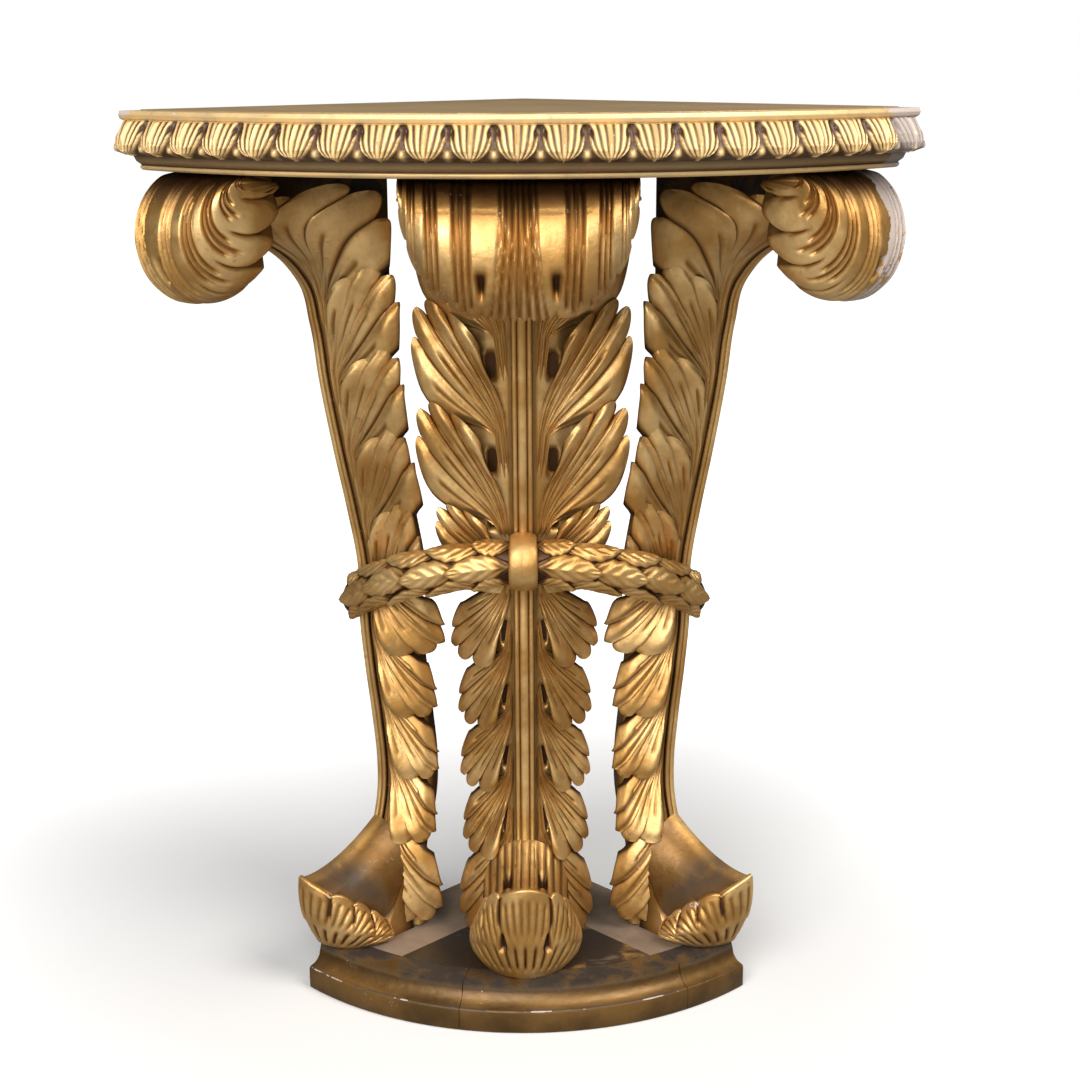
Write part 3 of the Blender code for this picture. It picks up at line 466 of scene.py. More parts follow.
def leaflet(legs, kind, base, wide, long, stem):
    """One leaflet as front and back places (r, t, z) with its high marks.

    Across it runs q and along it s. A line of equal q climbs the stem beside the spine and then follows a
    cubic Bezier curve out to the tip: P(b) = (1-b)^3 P0 + 3(1-b)^2 b P1 + 3(1-b) b^2 P2 + b^3 P3, where each
    P(q) is the quadratic through the three control lines. With f the distance from the middle of a finger and
    w its width, the carving is w (ridge (1 - f^2) - flute exp(-(f / 0.16)^2)). Fingers lean so that those
    near the middle lap the others.
    """
    fingers = legs.fingers
    lines = UPPER_LINES if kind == "upper" else LOWER_LINES
    way = 1 if kind == "upper" else -1
    phase = np.linspace(0, fingers, fingers * 18 + 1)
    q = phase / fingers
    f = np.abs(2 * (phase - np.floor(phase)) - 1)
    f[-1] = 1.0
    across = np.stack([2 * (q - 0.5) * (q - 1), 4 * q * (1 - q), 2 * q * (q - 0.5)], -1)
    cols = (across @ lines).T[:, :, None]
    s = np.linspace(0, 1, 54)
    ends = 1 - legs.notch * (1 - np.sqrt(1 - (0.985 * f) ** 2))
    b = np.clip((s - STEM_SHARE) / (1 - STEM_SHARE), 0, 1)[None, :] * ends[:, None]
    weights = ((1 - b) ** 3, 3 * (1 - b) ** 2 * b, 3 * (1 - b) * b**2, b**3)
    t = sum(w * cols[1 + 2 * k] for k, w in enumerate(weights))
    up = sum(w * cols[2 + 2 * k] for k, w in enumerate(weights))
    climb = np.clip(s / STEM_SHARE, 0, 1)[None, :]
    on_stem = (s < STEM_SHARE)[None, :]
    t = np.where(on_stem, cols[0] + (cols[1] - cols[0]) * climb, t)
    up = np.where(on_stem, -stem + (cols[2] + stem) * climb, up)
    t = np.where(t > STEM_REACH, STEM_REACH + (t - STEM_REACH) * wide, t)
    z = LEG_BASE + LEG_HEIGHT * base + way * up * long
    width = np.hypot(np.gradient(t, phase, axis=0), np.gradient(up, phase, axis=0))
    ridge = (1 - f**2)[:, None] * step(0.20, 0.50, s)[None, :]
    window = step(0.46, 0.62, s) * (1 - step(0.80, 0.85, s))
    hollow = bell(f, 0, 0.16)[:, None] * window[None, :]
    corded = step(0.22, 0.34, s) * (1 - step(0.50, 0.80, s))
    cords = np.cos(4 * math.pi * phase)[:, None] * corded[None, :]
    lean = (2 * (phase - np.floor(phase)) - 1) * np.sign(q - 0.45)
    lap = legs.lap * (lean * (1 - f**8))[:, None] * step(0.35, 0.60, s)[None, :]
    relief = np.minimum(width, WIDEST_FINGER) * (legs.ridge * ridge - legs.flute * hollow + lap)
    lines_on_stem = np.cos(2 * math.pi * 2 * q)[:, None] * (1 - step(0.30, 0.55, s))[None, :]
    rise = -0.0095 + 0.0065 * step(0.0, STEM_SHARE, s) + (legs.lift + 0.0030) * step(0.35, 1.0, s) ** 1.4
    rise = rise - 0.0045 * step(0.90, 1.0, s) ** 2
    side = -0.0050 * (1 - step(0.0, 0.16, q))[:, None] * step(0.3, 0.6, s)[None, :]
    inner = 0.0025 * step(0.78, 0.95, q)[:, None] * step(0.4, 0.7, s)[None, :]
    r = leaf_surface(kind, t, z) + relief + rise[None, :] + side + inner
    r = r + 0.0009 * lines_on_stem + 0.0006 * cords
    thick = legs.thick * (1 - 0.55 * step(0.88, 1.0, s))[None, :]
    cleft = np.clip((f - 0.72) / 0.28, 0, 1)[:, None] ** 2 * step(0.25, 0.5, s)[None, :]
    # Painted shade in the clefts between fingers, in the flutes, on the stem beside the spine and at the base
    # under the tips of the leaflet before; cords and stem lines are painted lighter.
    shade = 0.86 - 0.80 * cleft - 0.60 * hollow + 0.16 * lines_on_stem + 0.14 * cords
    shade = shade * (0.40 + 0.60 * step(0.0115, 0.0155, t))
    shade = shade * (0.60 + 0.40 * step(0.15, 0.75, s))[None, :]
    return (r, t, z), (r - thick, t, z), shade


def spray(legs, kind, leg, side):
    """A row of leaflets over a smooth body beside the spine, with eyes pressed in as exp(-x^4 - z^4)."""
    made = Piece()
    low, high, half = BODIES[kind]
    leaflets = LEAFLETS["centre upper" if (leg, kind) == ("centre", "upper") else kind]
    z = np.linspace(low, high, 200)[:, None]
    skirt = (SKIRT if leg == "centre" else 0.0) * (1 - step(0.050, 0.130, z))
    t = legs.spine_half + (half + skirt - legs.spine_half) * np.linspace(0, 1, 40)[None, :]
    eye_t, eye_up, wide, tall = EYES[kind]
    eye = 0 * z * t
    for base, *_ in leaflets[:3] if kind == "upper" else leaflets:
        middle = LEG_BASE + LEG_HEIGHT * base + (eye_up if kind == "upper" else -eye_up)
        eye = np.maximum(eye, spot((t - eye_t) / wide, (z - middle) / tall))
    sink = 0.0045 + 0.0010 * step(0.010, 0.017, t) + 0.0035 * step(1.1 * eye_t, 1.6 * eye_t, t)
    r = leaf_surface(kind, t, z) - sink - 0.0120 * eye
    back = leaf_surface(kind, np.minimum(t, legs.post_half), z)
    back = back - 0.024 - 0.25 * np.maximum(t - legs.post_half, 0)
    # Painted shade: the body darkens beside the spine and in the eyes.
    shade = 0.30 + 0.65 * step(0.012, 0.016, t) - 1.2 * eye
    made.sheet(at_leg(leg, side, r, t, z), at_leg(leg, side, back, t, z), high=shade)
    for place in leaflets:
        front, rear, shade = leaflet(legs, kind, *place)
        made.sheet(at_leg(leg, side, *front), at_leg(leg, side, *rear), high=shade)
    return made


def post(legs, leg):
    """Rings of a post. Its front is the spine with three beads.

    With h = 1 - x^2 across a bead, r = rib - relief (1 - h^0.25) on the middle one and
    r = rib - relief (1 - 0.72 h^0.5) on the others.
    """
    z = np.linspace(LEG_BASE, LEG_TOP, 190)[:, None]
    rib = spine_radius(z)
    half = legs.spine_half
    u = np.linspace(-1, 1, 41)
    bead = np.sqrt(bead_heights(u))
    front = BEAD_RELIEF * np.where(np.abs(u) < BEAD, bead**0.5, 0.72 * bead) - BEAD_RELIEF
    back = np.minimum(rib - legs.post_depth, legs.head_back)
    core = rib - 0.016
    # From this height up the block of the head is bare.
    head = step(0.780, 0.800, z)
    if leg != "centre":
        u, front = u[20:], front[20:]
    n = len(u)
    t = np.concatenate([u * half, [half, legs.post_half, legs.post_half, legs.post_half]])
    ring_r = [rib + front[None, :], core, core, (core + back) / 2, back]
    bare = [0.8 * head + np.zeros((len(z), n)), 0 * z, head, head, 0 * z + 1]
    # Painted shade: darker in the grooves between the beads and on the sides and back of the post.
    shade = 0.05 + 0.95 * np.clip(front / BEAD_RELIEF + 1, 0, 1)[None, :] + 0 * z
    high = [shade, 0 * z, 0 * z + 0.1, 0 * z + 0.3, 0 * z + 0.3]
    if leg == "centre":
        t = np.concatenate([[-legs.post_half, -legs.post_half, -legs.post_half, -half], t])
        ring_r = [back, (core + back) / 2, core, core] + ring_r
        bare = [0 * z + 1, head, 0 * z, 0 * z] + bare
        high = [0 * z + 0.3, 0 * z + 0.3, 0 * z + 0.1, 0 * z] + high
    else:
        t = np.concatenate([[0.0, 0.0], t])
        ring_r = [back, (core + back) / 2] + ring_r
        bare = [0 * z + 1, 0 * z + 1] + bare
        high = [0 * z + 0.3, 0 * z + 0.3] + high
    wide = [np.broadcast_to(part, (len(z), part.shape[1])) for part in ring_r]
    made = Piece()
    places = at_leg(leg, LEGS[leg][1][-1], np.concatenate(wide, axis=1), t[None, :], z)
    made.tube(places, high=np.concatenate(high, axis=1), bare=np.concatenate(bare, axis=1))
    return made


def curl(curls, leg):
    """A hood that rolls over and down from the leg head.

    Across it the lip is the curve |s|^3.2 + h^2 = 1, and m is the distance along that curve. With a from 0 at
    the root to 1 at the lip, turn = pi (0.5 - 1.12 a), z = top - drop h (1 - sin turn) / 2 and
    r = head + reach (0.4 + 0.6 sqrt(1 - s^4)) (0.34 + 0.66 cos turn). Flutes, eyes and the scallops of the
    lip follow m.
    """
    fine = np.linspace(0, 1, 4000) * math.pi / 2
    bow = np.stack([np.sin(fine) ** 0.625 * curls.half, np.cos(fine) * curls.drop], -1)
    length = np.concatenate([[0], np.cumsum(np.hypot(*np.diff(bow, axis=0).T))])
    m = np.linspace(0, length[-1], 150)
    t = np.interp(m, length, bow[:, 0])
    if leg == "centre":
        m, t = np.concatenate([-m[:0:-1], m]), np.concatenate([-t[:0:-1], t])
    s = t / curls.half
    m = np.abs(m)[:, None]
    a = np.linspace(0, 1, 100)[None, :]
    lobe = curls.lobe
    # The first lobe lies across the middle and is twice as wide. The place in a lobe goes from -1 to 1.
    first = m < lobe
    place = np.where(first, m / lobe, 2 * np.mod(m / lobe, 1.0) - 1)
    scallop = np.sqrt(np.cos(math.pi / 2 * place))
    along = a * (1 + (0.05 if leg == "centre" else 0.24) * (scallop - 0.8)) ** step(0.60, 1.0, a)
    turn = math.pi * (0.5 - 1.12 * along)
    least = 0.16 if leg == "centre" else 0.14
    lift = np.maximum(np.sqrt(1 - np.minimum(np.abs(s), 1) ** 3.2), least)[:, None]
    wide = (0.40 + 0.60 * np.sqrt(1 - np.minimum(np.abs(s), 1) ** 4))[:, None]
    r = SPINE_HEAD + 0.001 + curls.reach * wide * (0.34 * step(0.0, 0.12, a) + 0.66 * np.cos(turn))
    z = LEG_TOP - curls.drop * (1 - np.sin(turn)) / 2 * lift
    side = LEGS[leg][1][-1]
    grid = at_leg(leg, side, r, t[:, None], z)
    ways = normals(grid)
    outward = at_leg(leg, 1, 1.0, 0.0, 0.0) - at_leg(leg, 1, 0.0, 0.0, 0.0)
    if np.einsum("ijk,k->", ways[:, 20:60], outward) < 0:
        ways = -ways
    # Flutes stand in groups with a smooth band between. They sway a little and stop in round ends short of
    # the lip. The middle group spreads towards the lip.
    spread = np.where(first, 0.58 + 0.38 * step(0.30, 0.95, a), 0.95)
    flute = np.where(first, 3.5, 2.3) * place / spread + 0.11 * np.sin(7 * a + 55 * m)
    band = np.where(first, 0.90, 0.70) * spread
    veins = ripple(flute)
    ends = np.where(first, 0.95, 0.83 - 0.07 * np.abs(np.round(flute))) - 0.16 * step(0.10, 0.16, m)
    stop = 1 - step(-0.030, 0.030, a - ends)
    cut = veins * stop * step(0.03, 0.18, a) * (1 - step(band - 0.10, band + 0.04, np.abs(place)))
    bulge = np.sqrt(1 - place**2) * step(0.70, 0.92, a)
    eye_m, eye_a = (m - lobe) / 0.0036, (a - 0.60) / 0.070
    eye = spot(eye_m / (1.0 - 0.35 * np.clip(eye_a, -1, 1)), eye_a)
    lips = bell(np.abs(place), 1, 0.10) * step(0.66, 0.90, a)
    seam = bell(z, LEG_TOP - 0.0245, 0.0007) * (leg == "centre")
    cut = cut * (1 - eye)
    move = 0.0030 * bulge - curls.groove * cut - 0.009 * eye - 0.0030 * lips - 0.0006 * seam
    front = grid + ways * move[..., None]
    # Painted shade in the flutes, the eyes and the notches of the lip, and a painted shadow at the root of the
    # hood, under the overhang of the top.
    shade = (0.95 - 0.60 * cut - 0.95 * eye - 0.60 * lips) * (0.08 + 0.92 * step(0.14, 0.46, a))
    root_z = LEG_TOP - curls.root * lift
    back_r = SPINE_HEAD + 0.001 + (r[:, -1:] - 0.009 - SPINE_HEAD) * a
    back_z = root_z + (z[:, -1:] + 0.002 - root_z) * a + 0.016 * np.sin(math.pi * a) * lift
    made = Piece()
    chip = 0.5 * step(0.93, 1.0, a) + 0.9 * seam + 0.35 * step(0.95, 1.0, np.abs(s))[:, None]
    # The wall side of the right hood is stripped to the white ground.
    chip = chip + 2.0 * (1 - step(0.016, 0.038, m)) * (leg == "right")
    made.sheet(front, at_leg(leg, side, back_r, t[:, None], back_z), high=shade, chip=chip)
    return made


def foot(curls, leg):
    """A toe that turns up from the foot of the spine, carved as a shell.

    Sections stand round a centre line at angles p from the leg's own direction. The wall goes from a base
    radius to a rim whose height falls with p^k, and swells by b sin(pi v^0.8). Behind the rim a saddle climbs
    w^n to the leg. The middle toe is shorter and taller.
    """
    limit = math.radians(100)
    p = np.linspace(-limit, limit, 221) if leg == "centre" else np.linspace(0, limit, 111)
    c = (np.abs(p) / limit)[:, None]
    degrees = np.degrees(np.abs(p))[:, None]
    if leg == "centre":
        rise, reach = curls.mid_rise, curls.mid_reach
        back, fall, bend, sag, worn = MIDDLE_TOE
    else:
        rise, reach = curls.toe_rise, curls.toe_reach
        back, fall, bend, sag, worn = SIDE_TOE
    middle = SPINE_FOOT + back
    base_p = min(0.043, reach - back - 0.006)
    v = np.linspace(0, 1, 60)[None, :]
    fan = degrees / (0.50 + 0.50 * v)
    # The first lobe of the rim lies across the middle.
    lobe = np.where(degrees < 31, degrees / 31, np.mod((degrees - 31) / 23, 1.0) * 2 - 1)
    scallop = np.sqrt(np.clip(np.cos(math.pi / 2 * lobe), 0, 1))
    wave = 0.0065 * (scallop - 0.8) * (1 - step(0.85, 1.0, c))
    rim_z = LEG_BASE + rise * (1.0 - fall * c**bend) + wave
    straight = np.cos(np.minimum(np.abs(p), math.pi / 2))[:, None] ** 2
    rim_p = curls.toe_half - 0.007 + (reach - back + 0.007 - curls.toe_half) * straight
    swell = 0.004 + 0.009 * (1 - straight)
    wall_p = base_p + (rim_p - base_p) * np.sin(v * math.pi / 2) ** 0.9 + swell * np.sin(math.pi * v**0.8)
    wall_z = LEG_BASE + (rim_z - LEG_BASE) * v
    ribs = ripple(fan / 17.0) ** 3 * step(0.06, 0.16, v) * (1 - step(0.34, 0.46, v))
    flutes = ripple(fan / 9.5 + 0.5) ** 2 * step(0.42, 0.58, v) * (1 - step(0.86, 0.95, v))
    lips = bell(np.abs(lobe), 1, 0.12) * step(0.50, 0.85, v)
    groove = np.clip(ribs + 0.7 * flutes + lips, 0, 1)
    eye_p, eye_v = (degrees - 25) / 3.6, (v - 0.46) / 0.10
    eye = spot(eye_p / (1.0 - 0.5 * np.clip(eye_v, -1, 1)), eye_v) * (leg == "centre")
    wall_p = wall_p - 0.0026 * groove - 0.006 * eye
    roll = np.linspace(0, math.pi, 12)[None, 1:]
    roll_p = rim_p - 0.0030 + 0.0030 * np.cos(roll)
    roll_z = rim_z + 0.0026 * np.sin(roll)
    w = np.linspace(0, 1, 30)[None, 1:]
    way_r, way_t = np.cos(p)[:, None], np.sin(p)[:, None]
    end_r, end_t = np.full((len(p), 1), SPINE_FOOT - 0.010), 0.044 * np.sin(math.pi / 2 * p / limit)[:, None]
    end_z = LEG_BASE + 0.122 - 0.060 * c**2
    edge_r, edge_t = middle + roll_p[:, -1:] * way_r, roll_p[:, -1:] * way_t
    top_r, top_t = edge_r + (end_r - edge_r) * w, edge_t + (end_t - edge_t) * w
    spine = np.exp(-((top_t / 0.011) ** 4))
    # The beads of the spine and the flutes beside them run on over the saddle of the middle foot.
    u = np.abs(top_t) / SPINE_HALF
    bead = bead_heights(u)
    reed = ripple((np.abs(top_t) - SPINE_HALF) / 0.0075)
    pit = spot((np.abs(top_t) - 0.0175) / 0.0040, (w - 0.42) / 0.16)
    beads = (0.0030 * np.where(u < 1, np.sqrt(bead), 0.6 * reed) - 0.006 * pit) * (leg == "centre")
    # Painted highlight on the beads and reeds of the saddle, painted shade in their pits; a side saddle is
    # painted darker away from the spine.
    shine = np.where(u < 1, 0.25 + 0.7 * bead, 0.2 + 0.7 * reed) - 0.8 * pit
    low_z = roll_z[:, -1:] - wave
    top_z = low_z + (end_z - low_z) * w ** (1.6 + 130 * sag) + (0.002 * spine - sag) * np.sin(math.pi * w)
    top_z = top_z + wave * (1 - w) ** 8 + beads * np.sin(math.pi * w) ** 0.3
    r = np.concatenate([middle + wall_p * way_r, middle + roll_p * way_r, top_r, end_r - 0.012], axis=1)
    t = np.concatenate([wall_p * way_t, roll_p * way_t, top_t, end_t], axis=1)
    z = np.concatenate([wall_z, roll_z, top_z, np.full_like(end_z, LEG_BASE)], axis=1)
    flat = np.zeros((len(p), 1))
    saddle = shine if leg == "centre" else 0.25 + 0.5 * spine
    rubbed = worn * np.sin(math.pi * w) ** 0.4 * (1 - step(0.35, 0.70, w)) + 0 * top_r
    broken = 0 * wall_p + 0.75 * step(0.85, 1.0, v)
    # Painted shade in the grooves, ribs, lip notches and eye of the wall.
    high = np.concatenate([0.88 - 0.8 * groove - 0.88 * eye, 0.9 + 0 * roll_p, saddle, flat], axis=1)
    bare = np.concatenate([0 * wall_p, 0 * roll_p, rubbed, flat], axis=1)
    chip = np.concatenate([broken, 0.8 + 0 * roll_p, 0.5 + 0 * top_r, flat], axis=1)
    made = Piece()
    rings = at_leg(leg, LEGS[leg][1][-1], r, t, z)
    made.tube(rings, high=high, bare=bare, chip=chip * (0.5 if leg == "centre" else 1.0))
    return made


def wreath_line(wreath, angle):
    """Height and seat radius of the wreath at an angle: the height falls with 1 - cos(angle)."""
    bend = (1 - np.cos(angle)) / (1 - math.cos(WALL))
    z = LEG_BASE + LEG_HEIGHT * (wreath.mid + (wreath.end - wreath.mid) * bend)
    seat = spine_radius(z + wreath.half) + 0.0005 + 0.007 * np.sin(math.pi * np.abs(angle) / WALL)
    return z, seat


def wreath_point(wreath, angle, turn, swell):
    """Points on the wreath: r = seat + depth cos(turn) swell, z = middle + half sin(turn) swell."""
    z, seat = wreath_line(wreath, angle)
    return around(seat + wreath.depth * np.cos(turn) * swell, angle, z + wreath.half * np.sin(turn) * swell)


def laurel(wreath, sign):
    """Half a wreath: a round core under three rows of pointed leaves.

    Along a leaf runs u and across it v from -1 to 1. Its half width is sin(pi (0.14 + 0.86 u)^1.1)^0.9 and it
    swells by 0.12 (1 - v^4) + 0.22 u^1.5, with a rib and veins.
    """
    made = Piece()
    start = wreath.clasp / CLASP_RADIUS
    angles = np.linspace(start, WALL, 60)
    turn = np.linspace(-math.pi / 2, math.pi / 2, 24)
    core = wreath_point(wreath, sign * angles[:, None], turn[None, :], 0.80)
    # Painted shade: the core under the leaves is nearly black.
    made.tube(core, high=0.05)
    u = np.linspace(0, 1, 56)[:, None]
    v = np.linspace(-1, 1, 37)[None, :]
    outline = np.maximum(np.sin(math.pi * (0.14 + 0.86 * u) ** 1.1), 0) ** 0.9
    outline = np.maximum(outline * (1 + 0.06 * np.cos(2 * math.pi * 5 * u) * np.sin(math.pi * u)), 0.02)
    whole = wreath.leaf / LAUREL_RADIUS
    pitch = whole * LAUREL_PITCH
    for row, (mid, shift, half) in enumerate(LAUREL_ROWS):
        for k in range(int((WALL - start) / pitch) + 2):
            begin = start + pitch * (k - shift)
            last = min(begin + whole, WALL - 0.002)
            begin = max(begin, start)
            if last - begin < 0.35 * whole:
                continue
            angle = begin + u * (last - begin)
            sway = 0.07 * math.sin(2.3 * k + 1.7 * row) * np.sin(math.pi * u)
            ends = np.sin(math.pi * u) ** 0.5
            vein = np.cos(2 * math.pi * (u * 4.5 - np.abs(v) * 1.8)) * ends * (1 - v**4)
            rib = bell(v, 0, 0.12) * ends
            swell = 0.76 + 0.12 * (1 - v**4) + 0.22 * u**1.5 + 0.030 * rib + 0.018 * vein
            swell = swell - 0.06 * step(0.9, 1.0, u)
            inside = np.clip(mid + v * outline * half + sway, -1.62, 1.62)
            front = wreath_point(wreath, sign * angle, inside, swell)
            back = wreath_point(wreath, sign * angle, inside, 0.74 + 0 * swell)
            # Painted shade on the rims of each leaf and a painted shadow at its base, under the tip of the leaf
            # before; its middle, rib and veins are painted lighter.
            shade = 0.75 + 0.20 * (1 - v**2) + 0.24 * vein + 0.10 * rib - 0.70 * step(0.80, 1.0, np.abs(v))
            made.sheet(front, back, high=shade - 0.75 * (1 - step(0.08, 0.36, u)))
    return made


def palmette_edge(top, first, last, count):
    """The carved edge between two angles: a round section pressed by a row of leaves.

    Down the section runs v and across each leaf x from -1 to 1. The leaf's half width is h(v). Its flutes are
    cos(2 pi 3.6 f), with f = |x| / h times 0.75 at the top of the leaf and 1 at its tip. The ground outside
    it lies lower.
    """
    angle = np.linspace(first, last, count)
    turn = (angle + WALL) / (2 * WALL) * top.leaves
    x = 2 * (turn - np.floor(turn)) - 1
    low, high = FRAME_LOW + 0.0143, TABLE_TOP - 0.0006
    v = np.linspace(0, 1, 60)
    lip = top.lip / (high - low)
    # Section of the smooth edge: inset from the outer radius at shares of the height, from the lip down.
    keys = np.array([0.0, lip * 0.5, lip, lip + 0.03, 0.35, 0.55, 0.75, 0.90, 1.0])
    inset = np.array([0.0100, 0.0085, 0.0098, 0.0120, 0.0075, 0.0030, 0.0005, 0.0020, 0.0110])
    base = TOP_RADIUS - np.interp(v, keys, inset)
    height = high - (high - low) * v
    leaf = np.clip((v - lip - 0.02) / (0.965 - lip - 0.02), 0, 1)
    h = 0.98 * (1 - 0.16 * leaf) * np.sqrt(np.clip(1 - np.clip((leaf - 0.45) / 0.55, 0, 1) ** 2.4, 0.0, 1))
    share = np.abs(x)[:, None] / np.maximum(h, 0.03)[None, :]
    inside = 1 - step(0.90, 1.02, share)
    fan = share * (0.75 + 0.25 * leaf)[None, :]
    flutes = ripple(fan * 3.6)
    rib = bell(x[:, None], 0, 0.10)
    eye = spot((np.abs(x)[:, None] - 0.80) / 0.10, (leaf[None, :] - 0.24) / 0.10, 2)
    drop = spot((1 - np.abs(x)[:, None]) / 0.17, (leaf[None, :] - 0.86) / 0.14, 2)
    on = step(0.0, 0.06, leaf)[None, :]
    body = 0.35 + 0.65 * np.sqrt(np.clip(1 - np.clip(share, 0, 1) ** 2, 0, 1))
    rise = inside * (body + 0.34 * (flutes - 0.5)) + 0.45 * rib * inside + 0.62 * drop - 0.55 * eye
    r = np.minimum(base[None, :] + top.relief * (rise - 0.75) * on, TOP_RADIUS + 0.002)
    grid = around(r, angle[:, None], height[None, :])
    inner = around(BOARD_RADIUS + 0.0004, angle[:, None], height[None, :])
    # Painted shade on the ground outside each leaf and in its eye; its flutes, rib and drop are painted
    # lighter.
    shade = 0.05 + 0.62 * inside * flutes + 0.35 * rib * inside + 0.5 * drop - 0.6 * eye
    shade = np.where(on > 0.5, shade, 0.9)
    made = Piece()
    ends = step(0.93, 1.0, np.abs(angle) / WALL)[:, None]
    chip = 0.30 + 0.5 * bell(v, 0.04, 0.05)[None, :] + 0.6 * ends
    # The right end is stripped to the white ground.
    chip = chip + 1.7 * step(0.86, 0.95, angle / WALL)[:, None]
    made.sheet(grid, inner, high=shade, chip=chip)
    return made


def frieze(first, last):
    """Sweep of the plain moulding under the carved edge: a fascia above a small round."""
    low, high = FRAME_LOW, BOARD_LOW - JOINT_GAP
    # Inset from the ledge and height above the underside, from below the round up to the ledge.
    face = np.array([
        (0.0140, 0.0), (0.0095, 0.0006), (0.0070, 0.0022), (0.0066, 0.0042),
        (0.0085, 0.0050), (0.0030, 0.0085), (0.0, 0.014),
    ])
    face = np.stack([LEDGE_RADIUS - face[:, 0], low + face[:, 1]], -1)
    inner, ledge = LEDGE_RADIUS - 0.054, face[-1, 1]
    rest = np.array([(BOARD_RADIUS, ledge), (BOARD_RADIUS, high), (inner, high), (inner, low)])
    outer = np.concatenate([face, rest])
    made = Piece()
    # Painted shade: the fascia, which faces down under the carved edge, and the hidden faces are darker than
    # the small round below.
    shade = np.repeat([0.30, 0.85, 0.85, 0.75, 0.10, 0.22, 0.14, 0.10, 0.10, 0.10, 0.10], 5)
    chip = 0.25 + 1.7 * step(0.92, 0.97, np.linspace(first, last, 80) / WALL)
    made.tube(swept(rounded(outer, 0.0009), first, last, 80), high=shade[None, :], chip=chip[:, None])
    return made


def plinth_edge(plinth, first, last):
    """Sweep of the plinth's edge: a plain face, an arris and a hollow.

    Across the hollow a runs from 0 to pi / 2, with r = R - cove sin a and z = top - rise cos a.
    """
    a = np.linspace(0, math.pi / 2, 14)
    rise = PLINTH_TOP - plinth.face
    hollow = np.stack([PLINTH_RADIUS - plinth.cove * np.sin(a), PLINTH_TOP - rise * np.cos(a)], -1)
    low = np.array([
        (PLINTH_RADIUS - 0.001, 0.0),
        (PLINTH_RADIUS, 0.001),
        (PLINTH_RADIUS, plinth.face - 0.0024),
        (PLINTH_RADIUS - 0.0005, plinth.face - 0.0008),
    ])
    top = np.array([
        (PLINTH_RADIUS - plinth.cove - 0.0015, PLINTH_TOP),
        (EDGE_RADIUS + JOINT_GAP, PLINTH_TOP),
        (EDGE_RADIUS + JOINT_GAP, 0.0),
    ])
    hollow[0] += (-0.0012, 0.0)
    profile = np.concatenate([low, hollow, top])
    count = max(8, int((last - first) / math.radians(0.5)))
    rings = swept(profile, first, last, count)
    arris = np.zeros(len(profile))
    arris[3:5] = 0.95
    arris[len(profile) - 4] = 0.6
    # Painted shade: darker deeper into the hollow.
    shade = np.full(len(profile), 0.75)
    shade[6:15] = np.linspace(0.85, 0.45, 9)
    made = Piece()
    worn = np.zeros(len(profile))
    worn[-7:] = (0.45, 0.75, 0.95, 1.0, 1.0, 1.0, 1.0)
    worn[3:8] = (0.50, 0.80, 0.80, 0.50, 0.15)
    made.tube(rings, high=shade[None, :], chip=arris[None, :], bare=worn[None, :])
    return made


def plinth_board(plinth, which):
    """A flat board of the plinth as a sheet between two heights. Its plan runs outwards from the corner."""
    v = np.linspace(0, 1, 40)
    radius = EDGE_RADIUS
    if which == "front":
        inner = (plinth.strip + plinth.gap) * math.sqrt(2)
        turn = WALL - math.asin((plinth.strip + plinth.gap) / radius)
        angle = np.linspace(-turn, turn, 60)
        reach = np.stack([radius * np.sin(angle), CORNER_Y - radius * np.cos(angle)], -1)
        start = np.array([0.0, CORNER_Y - inner])
        plan = start + (reach - start)[None] * (0.02 + 0.98 * v)[:, None, None]
    else:
        side = LEGS[which][1][0]
        t = np.linspace(0, plinth.strip, 30)
        near, far = t + JOINT_GAP, np.sqrt(radius**2 - t**2)
        r = near[None, :] + (far - near)[None, :] * v[:, None]
        plan = at_leg(which, side, r, t[None, :], 0.0)[..., :2]
    high = np.concatenate([plan, np.full(plan.shape[:2] + (1,), PLINTH_TOP)], -1)
    low = np.concatenate([plan, np.zeros(plan.shape[:2] + (1,))], -1)
    made = Piece()
    made.sheet(high, low, high=0.6)
    return made


def feed(tree, made, inputs):
    """Links or sets the inputs of a node."""
    for name, value in inputs.items():
        socket = made.inputs[name]
        if isinstance(value, bpy.types.NodeSocket):
            tree.links.new(value, socket)
        else:
            socket.default_value = value


def node(tree, kind, inputs=None, **settings):
    """Adds a node, sets its options and feeds its inputs."""
    made = tree.nodes.new(kind)
    for name, value in settings.items():
        setattr(made, name, value)
    feed(tree, made, inputs or {})
    return made


def blend(tree, share, a, b):
    """Mixes two colours by a varying share."""
    return node(tree, "ShaderNodeMix", {0: share, 6: a, 7: b}, data_type="RGBA").outputs[2]


def span(tree, value, low, high, to_low=0.0, to_high=1.0):
    """Carries a value from one range to another along a smooth step."""
    ends = {"Value": value, "From Min": low, "From Max": high, "To Min": to_low, "To Max": to_high}
    return node(tree, "ShaderNodeMapRange", ends, interpolation_type="SMOOTHSTEP").outputs[0]


def times(tree, a, b, operation="MULTIPLY"):
    """Two values times each other, or joined by another operation, kept between 0 and 1."""
    return node(tree, "ShaderNodeMath", {0: a, 1: b}, operation=operation, use_clamp=True).outputs[0]


def noise(tree, where, scale, detail=4.0, rough=0.55):
    """Cloudy noise between 0 and 1."""
    inputs = {"Vector": where, "Scale": scale, "Detail": detail, "Roughness": rough}
    return node(tree, "ShaderNodeTexNoise", inputs).outputs[0]


def object_places(tree):
    """Places in the frame of the object, which is the frame of the table."""
    return node(tree, "ShaderNodeTexCoord").outputs["Object"]


